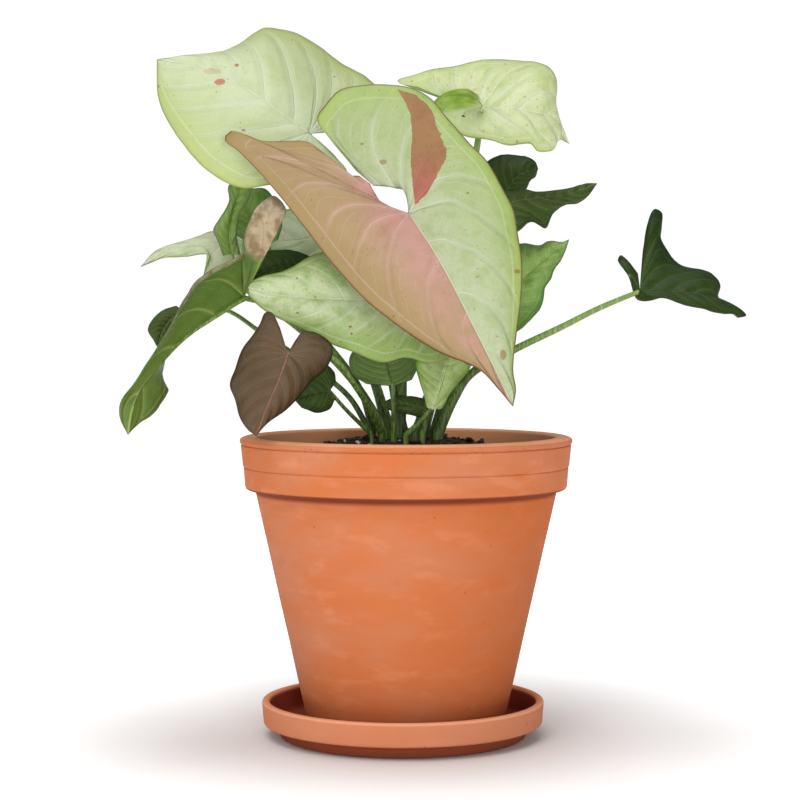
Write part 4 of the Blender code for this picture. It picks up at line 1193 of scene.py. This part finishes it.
def stalkTree():
    # a tube along a path, as thick as the path's own width says at each point
    group = bpy.data.node_groups.new("stalkAlongPath", "GeometryNodeTree")
    group.interface.new_socket("Path", in_out="INPUT", socket_type="NodeSocketGeometry")
    group.interface.new_socket("Sides", in_out="INPUT", socket_type="NodeSocketInt")
    group.interface.new_socket("Finish", in_out="INPUT", socket_type="NodeSocketMaterial")
    group.interface.new_socket("Stalk", in_out="OUTPUT", socket_type="NodeSocketGeometry")
    made = Tree(group)
    entry = group.nodes.new("NodeGroupInput")
    line = made.add("GeometryNodeMeshToCurve", None, {"Mesh": Wire(entry.outputs["Path"])})
    width = made.add("GeometryNodeInputNamedAttribute", {"data_type": "FLOAT"}, {"Name": "width"})
    ring = made.add("GeometryNodeCurvePrimitiveCircle", None, {
        "Resolution": Wire(entry.outputs["Sides"]), "Radius": 1.0})
    tube = made.add("GeometryNodeCurveToMesh", None, {
        "Curve": line, "Profile Curve": ring, "Scale": width, "Fill Caps": True})
    tube = made.add("GeometryNodeSetShadeSmooth", None, {"Geometry": tube, "Shade Smooth": True})
    tube = made.add("GeometryNodeRealizeInstances", None, {"Geometry": tube})
    done = made.add("GeometryNodeSetMaterial", None, {
        "Geometry": tube, "Material": Wire(entry.outputs["Finish"])})
    leave = group.nodes.new("NodeGroupOutput")
    group.links.new(done.socket, leave.inputs[0])
    return group


def stalkMesh(name, leaf, spine, group, finish):
    # upright in the soil, leaning over, then tapering along the underside of the midrib
    foot = Vector((leaf["root"][0] * mm, -leaf["root"][1] * mm, blade["stalkFoot"] * mm))
    bend = Vector((foot.x, foot.y, blade["stalkBend"] * mm))
    footRadius, topRadius = leaf["radii"][0] * mm, leaf["radii"][1] * mm
    joint = spine[0][0] - spine[2][1] * topRadius * 0.7
    guide = [bend] + [sighted(place) for place in leaf["stalk"]] + [joint]
    count = 9 * (len(guide) - 1)
    path, widths = [foot], [footRadius]
    for step in range(count + 1):
        path.append(along(guide, step / count))
        widths.append(footRadius + (topRadius - footRadius) * (step / count) ** 0.6)
    for step in range(2, 35, 2):
        place, look = spine[step]
        thin = topRadius * 0.62 * (1.0 - step / 40.0) ** 0.8 + 0.12 * mm
        path.append(place - look * (thin - 0.12 * mm))
        widths.append(thin)
    mesh = bpy.data.meshes.new(name)
    mesh.from_pydata(path, [(index, index + 1) for index in range(len(path) - 1)], [])
    mesh.attributes.new("width", "FLOAT", "POINT").data.foreach_set("value", widths)
    body = bpy.data.objects.new(name, mesh)
    bpy.context.scene.collection.objects.link(body)
    runTree(body, group, {"Sides": 12, "Finish": finish})
    return plain(body, name)


def veins(made, style):
    # distances in mm from the nearest side vein, rim vein and midrib, as three soft lines
    u, v, _ = made.split(made.add("ShaderNodeUVMap", {"uv_map": "leafMap"}))
    share = abs(u)
    grain = made.add("ShaderNodeAttribute", {"attribute_name": "grain"}, None, "Fac")
    span = made.add("ShaderNodeAttribute", {"attribute_name": "span"}, None, "Fac")
    wander = made.clouds(22.0, 2.0) - 0.5
    phase = (share + v ** 2 * style["sweep"] + (u > 0.0) * 0.045 + wander * 0.05) * style["count"]
    aside = abs((phase + 0.5) % 1.0 - 0.5) * grain / style["count"]
    width = style["width"] * (1.15 - v * 0.8)
    side = made.soft(aside / width, 1.0, 0.2) * made.soft(v, 0.97, 0.84)
    halo = made.soft(aside / width, 5.0, 0.5) * made.soft(v, 1.0, 0.7)
    minor = abs((phase * 3.0 + wander * 3.0 + 0.5) % 1.0 - 0.5) * grain / style["count"] / 3.0
    fine = made.soft(minor / width, 0.75, 0.2) * made.soft(v, 0.3, 0.6) * made.soft(v, 0.95, 0.8)
    around = abs(v - 0.875 + wander * 0.04) * span
    rimVein = made.soft(around / style["width"], 0.9, 0.1) * 0.7
    rimVein = rimVein * made.soft(share, 0.03, 0.12) * made.soft(share, 1.0, 0.85)
    mid = made.soft(v * span, style["midrib"], style["midrib"] * 0.35)
    puff = made.soft(aside, 0.0, 5.0) * made.soft(v, 1.0, 0.8)
    return {"u": u, "v": v, "share": share, "side": side, "halo": halo, "rim": rimVein,
            "mid": mid, "fine": fine, "puff": puff, "span": span}


veinStyle = {"count": 9.5, "sweep": 0.14, "width": 0.75, "midrib": 0.9}


def tissue(made, lines, look):
    # the colour of one stretch of blade: heart to rim, mottled, then its veins
    heart, ground, rim = (tint(*look[key]) for key in ("heart", "ground", "rim"))
    cloud = made.clouds(34.0, 3.0, 0.6)
    toRim = made.soft(lines["v"] + (cloud - 0.5) * 0.22, look.get("rimFrom", 0.66), 1.0)
    toHeart = made.soft(lines["v"] * lines["span"] + (cloud - 0.5) * 14.0, 34.0, 4.0)
    body = made.mix(toHeart, ground, heart)
    body = made.mix(toRim, body, rim)
    mottle = made.soft(made.clouds(120.0, 4.0, 0.6), 0.42, 0.7)
    body = made.mix(mottle * look.get("mottle", 0.25), body, tint(*look.get("patch", look["rim"])))
    fine = made.soft(made.clouds(720.0, 2.0, 0.7), 0.35, 0.7)
    body = made.mix(fine * 0.22, body, tint(*look.get("patch", look["rim"])))
    vein = tint(*look["vein"])
    power = look.get("veinPower", 0.6)
    body = made.mix(lines["halo"] * power * 0.35, body, vein)
    strong = lines["side"].orMore(lines["rim"] * 0.7).orMore(lines["fine"] * 0.35)
    body = made.mix(strong * power, body, vein)
    return made.mix(lines["mid"] * look.get("midPower", power), body, tint(*look.get("midrib", look["vein"])))


def leafFinish(name, looks, extra=None):
    first = looks[0]
    made = Finish(name, first.get("rough", 0.5), {"Specular IOR Level": first.get("gloss", 0.35)})
    lines = veins(made, {**veinStyle, **first.get("veins", {})})
    body = tissue(made, lines, first)
    if extra:
        body = extra(made, lines, body, looks)
    if first.get("specks"):
        spots = made.dots(230.0, 0.2, first["specks"])
        tiny = made.dots(560.0, 0.24, first["specks"] * 1.2)
        body = made.mix(spots * 0.8, body, tint(*first.get("speck", (128, 70, 48))))
        body = made.mix(tiny * 0.6, body, tint(*first.get("tiny", (92, 84, 50))))
    edge = made.soft(lines["v"] * lines["span"], lines["span"] - 0.9, lines["span"] - 0.25)
    body = made.mix(edge * first.get("edgePower", 0.5), body, tint(*first.get("edge", (120, 140, 60))))
    sunk = first.get("raised", -1.0)
    relief = lines["side"] * 0.22 * sunk + lines["mid"] * 0.3 * sunk + lines["rim"] * 0.1 * sunk
    relief = relief + lines["puff"] * 0.55 + made.clouds(900.0, 2.0) * 0.06 + made.clouds(70.0, 2.0) * 0.5
    rough = first.get("rough", 0.5) + (made.clouds(90.0) - 0.5) * 0.16
    return made.paint(body, rough, relief)


lookBook = {
    "pink": {
        "heart": (178, 134, 123), "ground": (162, 137, 101), "rim": (148, 126, 80),
        "vein": (196, 158, 144), "veinPower": 0.75, "midrib": (196, 150, 138), "midPower": 0.85,
        "patch": (150, 120, 86), "mottle": 0.45, "edge": (108, 74, 44), "specks": 0.05,
        "edgePower": 0.85, "rimFrom": 0.5, "tan": (152, 132, 90),
    },
    "mint": {
        "heart": (170, 178, 144), "ground": (156, 168, 120), "rim": (150, 170, 92),
        "vein": (188, 196, 168), "veinPower": 0.7, "patch": (132, 152, 88), "mottle": 0.45,
        "rimFrom": 0.7,
    },
    "pale": {
        "heart": (187, 196, 159), "ground": (177, 188, 140), "rim": (166, 179, 108),
        "vein": (202, 209, 182), "patch": (162, 178, 120), "mottle": 0.4, "specks": 0.05,
        "speck": (140, 92, 70), "edge": (128, 130, 66),
    },
    "creamy": {
        "heart": (197, 205, 162), "ground": (190, 200, 146), "rim": (181, 196, 132),
        "vein": (208, 214, 184), "patch": (166, 184, 110), "mottle": 0.75, "specks": 0.16,
        "speck": (176, 112, 86), "edge": (116, 120, 60),
    },
    "leafy": {
        "heart": (190, 200, 157), "ground": (160, 180, 114), "rim": (142, 166, 90),
        "vein": (206, 216, 182), "patch": (132, 158, 84), "mottle": 0.75, "specks": 0.3,
        "speck": (120, 66, 40), "edge": (104, 104, 46), "rimFrom": 0.5,
    },
    "white": {
        "heart": (197, 202, 170), "ground": (180, 190, 150), "rim": (144, 164, 102),
        "vein": (210, 215, 192), "patch": (150, 168, 116), "mottle": 0.5, "edge": (104, 122, 64),
    },
    "young": {
        "heart": (184, 204, 130), "ground": (160, 190, 102), "rim": (124, 166, 66),
        "vein": (198, 212, 156), "patch": (124, 160, 68), "mottle": 0.7, "specks": 0.2,
        "speck": (176, 110, 80), "edge": (96, 124, 40),
    },
    "bronze": {
        "heart": (86, 66, 43), "ground": (76, 61, 36), "rim": (66, 51, 30),
        "vein": (104, 82, 58), "veinPower": 0.45, "midrib": (128, 88, 66), "midPower": 0.85,
        "patch": (62, 55, 28), "edge": (44, 30, 20), "mottle": 0.5, "edgePower": 0.85,
    },
    "mid": {
        "heart": (130, 160, 82), "ground": (100, 138, 60), "rim": (78, 118, 46),
        "vein": (156, 180, 104), "veinPower": 0.45, "patch": (74, 112, 42), "mottle": 0.6,
        "edge": (66, 84, 34),
    },
    "dark": {
        "heart": (62, 82, 34), "ground": (51, 71, 27), "rim": (43, 62, 22),
        "vein": (96, 114, 60), "veinPower": 0.4, "patch": (36, 54, 18), "mottle": 0.5,
        "edge": (66, 76, 40), "rough": 0.55, "gloss": 0.22,
    },
    "deep": {
        "heart": (48, 68, 24), "ground": (38, 58, 17), "rim": (31, 48, 14),
        "vein": (80, 98, 48), "veinPower": 0.35, "patch": (26, 40, 12), "mottle": 0.5,
        "edge": (66, 76, 44), "rough": 0.55, "gloss": 0.18,
    },
    "under": {
        "heart": (112, 140, 74), "ground": (92, 124, 60), "rim": (100, 126, 72),
        "vein": (156, 176, 106), "veinPower": 0.6, "patch": (80, 110, 50), "mottle": 0.3,
        "edge": (120, 110, 72), "rough": 0.6, "raised": 1.0,
    },
    "underPale": {
        "heart": (160, 178, 132), "ground": (148, 170, 114), "rim": (136, 160, 92),
        "vein": (184, 196, 152), "veinPower": 0.6, "patch": (134, 156, 96), "mottle": 0.3,
        "rough": 0.6, "raised": 1.0,
    },
    "underLong": {
        "heart": (96, 122, 52), "ground": (80, 108, 45), "rim": (76, 101, 46),
        "vein": (158, 178, 92), "veinPower": 0.7, "patch": (68, 94, 38), "mottle": 0.4,
        "edge": (140, 122, 92), "rough": 0.55, "raised": 1.0, "veins": {"count": 6.0, "width": 0.6},
    },
}


def curve(made, value, low, high, *stops):
    # a value from 0 to 1 that follows stops of (place from 0 to 1, height)
    ramp = made.add("ShaderNodeValToRGB", {"stops": stops}, {
        "Fac": made.add("ShaderNodeMapRange", None, {"Value": value, "From Min": low, "From Max": high})})
    return made.split(ramp)[0]


def frontMarks(made, lines, body, looks):
    # the pink half turns tan to its tip; the other half is mint, with a tan wedge in its lobe
    tan = made.soft(lines["share"], 0.3, 0.1) * made.soft(made.clouds(60.0, 3.0), 0.3, 0.6)
    body = made.mix(tan * 0.8 * (1.0 - lines["side"] * 0.7), body, tint(*looks[0]["tan"]))
    flush = made.soft(lines["v"] * lines["span"], 20.0, 2.0) * made.soft(lines["share"], 0.2, 0.5)
    body = made.mix(flush * 0.4, body, tint(190, 130, 126))
    body = made.mix((lines["u"] < 0.0), body, tissue(made, lines, looks[1]))
    jag = (made.clouds(170.0, 4.0, 0.7) - 0.5) * 5.0 * mm
    low, high = 262.0 * mm, 319.0 * mm
    right = curve(made, made.z, low, high, (0.0, 0.364), (1.0, 0.016), (0.1, 0.64), (0.22, 0.76),
                  (0.355, 0.93), (0.47, 0.98), (0.55, 0.9), (0.64, 0.81), (0.74, 0.77), (0.83, 0.67),
                  (0.94, 0.41)) * 25.0 * mm
    left = curve(made, made.z, low, high, (0.0, 0.36), (1.0, 0.01), (0.14, 0.32), (0.37, 0.276),
                 (0.58, 0.312), (0.77, 0.276), (0.875, 0.188)) * 25.0 * mm
    place = made.x + 5.0 * mm
    wedge = made.soft(place + jag * 0.35 - left, 0.0 * mm, 0.35 * mm)
    wedge = wedge * made.soft(right - place - jag, 0.0 * mm, 0.35 * mm) * (lines["u"] < 0.0)
    wedge = wedge * made.soft(lines["share"], 0.36, 0.38) * (made.z > low) * (made.z < 320.5 * mm)
    deep = made.soft(made.z + made.clouds(80.0) * 0.012, 300.0 * mm, 268.0 * mm)
    tan = made.mix(deep, tint(140, 104, 66), tint(164, 96, 84))
    tan = made.mix(made.soft(made.clouds(240.0, 4.0, 0.65), 0.45, 0.7) * 0.4, tan, tint(118, 84, 52))
    tan = made.mix(lines["side"] * 0.6, tan, tint(178, 104, 92))
    body = made.mix(wedge, body, tan)
    for spot, width, height, color, power in (
            ((55.3, 231.0, 66.0), 1.4, 1.0, (128, 84, 46), 0.7),
            ((48.5, 189.5, 76.0), 1.6, 2.4, (136, 98, 60), 0.7),
            ((-11.5, 286.0, 40.0), 2.0, 1.2, (130, 96, 66), 0.6),
            ((-22.0, 295.0, 38.0), 0.9, 0.7, (136, 84, 60), 0.7)):
        body = made.mix(made.blot(spot, width, height) * power, body, tint(*color))
    return body


def upperLeftMarks(made, lines, body, looks):
    for place, width, height, color, power in (
            ((-92.5, 325.5, 10.0), 3.0, 1.8, (176, 98, 78), 0.85),
            ((-97.0, 331.0, 9.0), 4.6, 1.6, (178, 156, 128), 0.6),
            ((-84.5, 334.0, 6.0), 1.2, 0.9, (166, 92, 70), 0.85)):
        body = made.mix(made.blot(place, width, height) * power, body, tint(*color))
    return body


def upperRightMarks(made, lines, body, looks):
    # the flap of its near lobe is bright green; pink flecks and black specks beside it
    flap = made.blot((23.0, 317.0, 10.0), 12.5, 6.5, 0.2) * (lines["u"] < 0.0)
    glow = made.mix(made.soft(made.clouds(110.0), 0.4, 0.65), tint(120, 156, 52), tint(152, 182, 84))
    body = made.mix(flap * made.soft(lines["share"], 0.7, 0.76), body, glow)
    pink = made.dots(170.0, 0.3, 0.5) * made.blot((26.0, 322.0, -8.0), 26.0, 9.0, 0.1)
    body = made.mix(pink * 0.5 * (lines["u"] > 0.0), body, tint(190, 128, 110))
    black = made.dots(380.0, 0.36, 0.5) * made.blot((26.5, 307.5, 5.0), 5.0, 2.4, 0.1)
    return made.mix(black * 0.9, body, tint(30, 34, 18))


def underLongMarks(made, lines, body, looks):
    # a tan lobe with pale streaks, and a greyish strip along the curled edge
    streaks = made.soft(made.clouds(150.0, 3.0, 0.6), 0.4, 0.62)
    tan = made.mix(streaks, tint(140, 118, 86), tint(176, 160, 128))
    tan = made.mix(lines["side"] * 0.6, tan, tint(176, 128, 112))
    lobe = made.blot((-71.0, 254.0, 32.0), 14.0, 17.0, 0.15) * (lines["u"] > 0.0)
    body = made.mix(lobe * made.soft(lines["share"], 0.5, 0.6), body, tan)
    strip = made.soft(lines["v"] + (made.clouds(70.0) - 0.5) * 0.3, 0.78, 0.88) * (lines["u"] > 0.0)
    strip = strip * made.soft(lines["share"], 0.1, 0.2)
    return made.mix(strip * 0.75, body, made.mix(streaks, tint(124, 104, 78), tint(164, 150, 128)))


def curledMarks(made, lines, body, looks):
    edge = made.soft(lines["v"] + (made.clouds(160.0) - 0.5) * 0.4, 0.8, 0.95)
    return made.mix(edge * 0.6, body, tint(150, 132, 96))


def stalkFinish():
    made = Finish("stalkSkin", 0.45, {"Specular IOR Level": 0.5})
    height = made.soft(made.z + (made.clouds(60.0) - 0.5) * 0.03, 165.0 * mm, 210.0 * mm)
    streak = made.add("ShaderNodeCombineXYZ", None, {
        0: made.x * 3.0, 1: made.y * 3.0, 2: made.z * 0.25})
    lines = made.soft(made.clouds(260.0, 2.0, 0.6, streak), 0.4, 0.65)
    low = made.mix(lines, tint(62, 82, 30), tint(104, 130, 56))
    high = made.mix(lines, tint(98, 130, 58), tint(132, 160, 82))
    body = made.mix(height, low, high)
    return made.paint(body, 0.45 + lines * 0.1, lines * 0.2)


def makeLeaves():
    stalkSkin = stalkFinish()
    group = stalkTree()
    finishes = {}
    for name, looks, extra in (
            ("front", ["pink", "mint"], frontMarks), ("upperLeft", ["pale"], upperLeftMarks),
            ("upperRight", ["creamy"], upperRightMarks), ("middle", ["leafy"], None),
            ("leftPale", ["white"], None), ("young", ["young"], None),
            ("bronze", ["bronze"], None), ("mid", ["mid"], None), ("dark", ["dark"], None),
            ("deep", ["deep"], None), ("under", ["under"], None),
            ("underPale", ["underPale"], None), ("underLong", ["underLong"], underLongMarks),
            ("curled", ["mid"], curledMarks)):
        finishes[name] = leafFinish(name + "Skin", [lookBook[look] for look in looks], extra)
    for seed, (name, leaf) in enumerate(leaves.items()):
        upper, under, slot = leaf["finish"]
        sheet, spine = bladeMesh(name + "_blade", leaf, seed * 3.7)
        body = bpy.data.objects.new(name + "_blade", sheet)
        bpy.context.scene.collection.objects.link(body)
        body.vertex_groups.new(name="thick")
        thick = body.modifiers.new("thick", "SOLIDIFY")
        thick.thickness = blade["thick"] * mm
        thick.offset = 0.0
        thick.vertex_group = "thick"
        thick.material_offset = 1
        thick.use_rim = True
        body.data.materials.append(finishes[upper])
        body.data.materials.append(finishes[under])
        body = plain(body, name + "_blade")
        stalk = stalkMesh(name + "_stalk", leaf, spine, group, stalkSkin)
        body.data.materials.append(stalkSkin)
        shape = bmesh.new()
        shape.from_mesh(stalk.data)
        for face in shape.faces:
            face.material_index = 2
        shape.from_mesh(body.data)
        shape.to_mesh(body.data)
        shape.free()
        bpy.data.objects.remove(stalk, do_unlink=True)
        body.name = name + "_grown"
        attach(body, "root")
        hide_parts(name)
    print("leaves:", len(leaves))


setStage()
print("stage set")
makeSaucer()
makePot()
print("pot and saucer turned")
makeSoil()
makeLeaves()
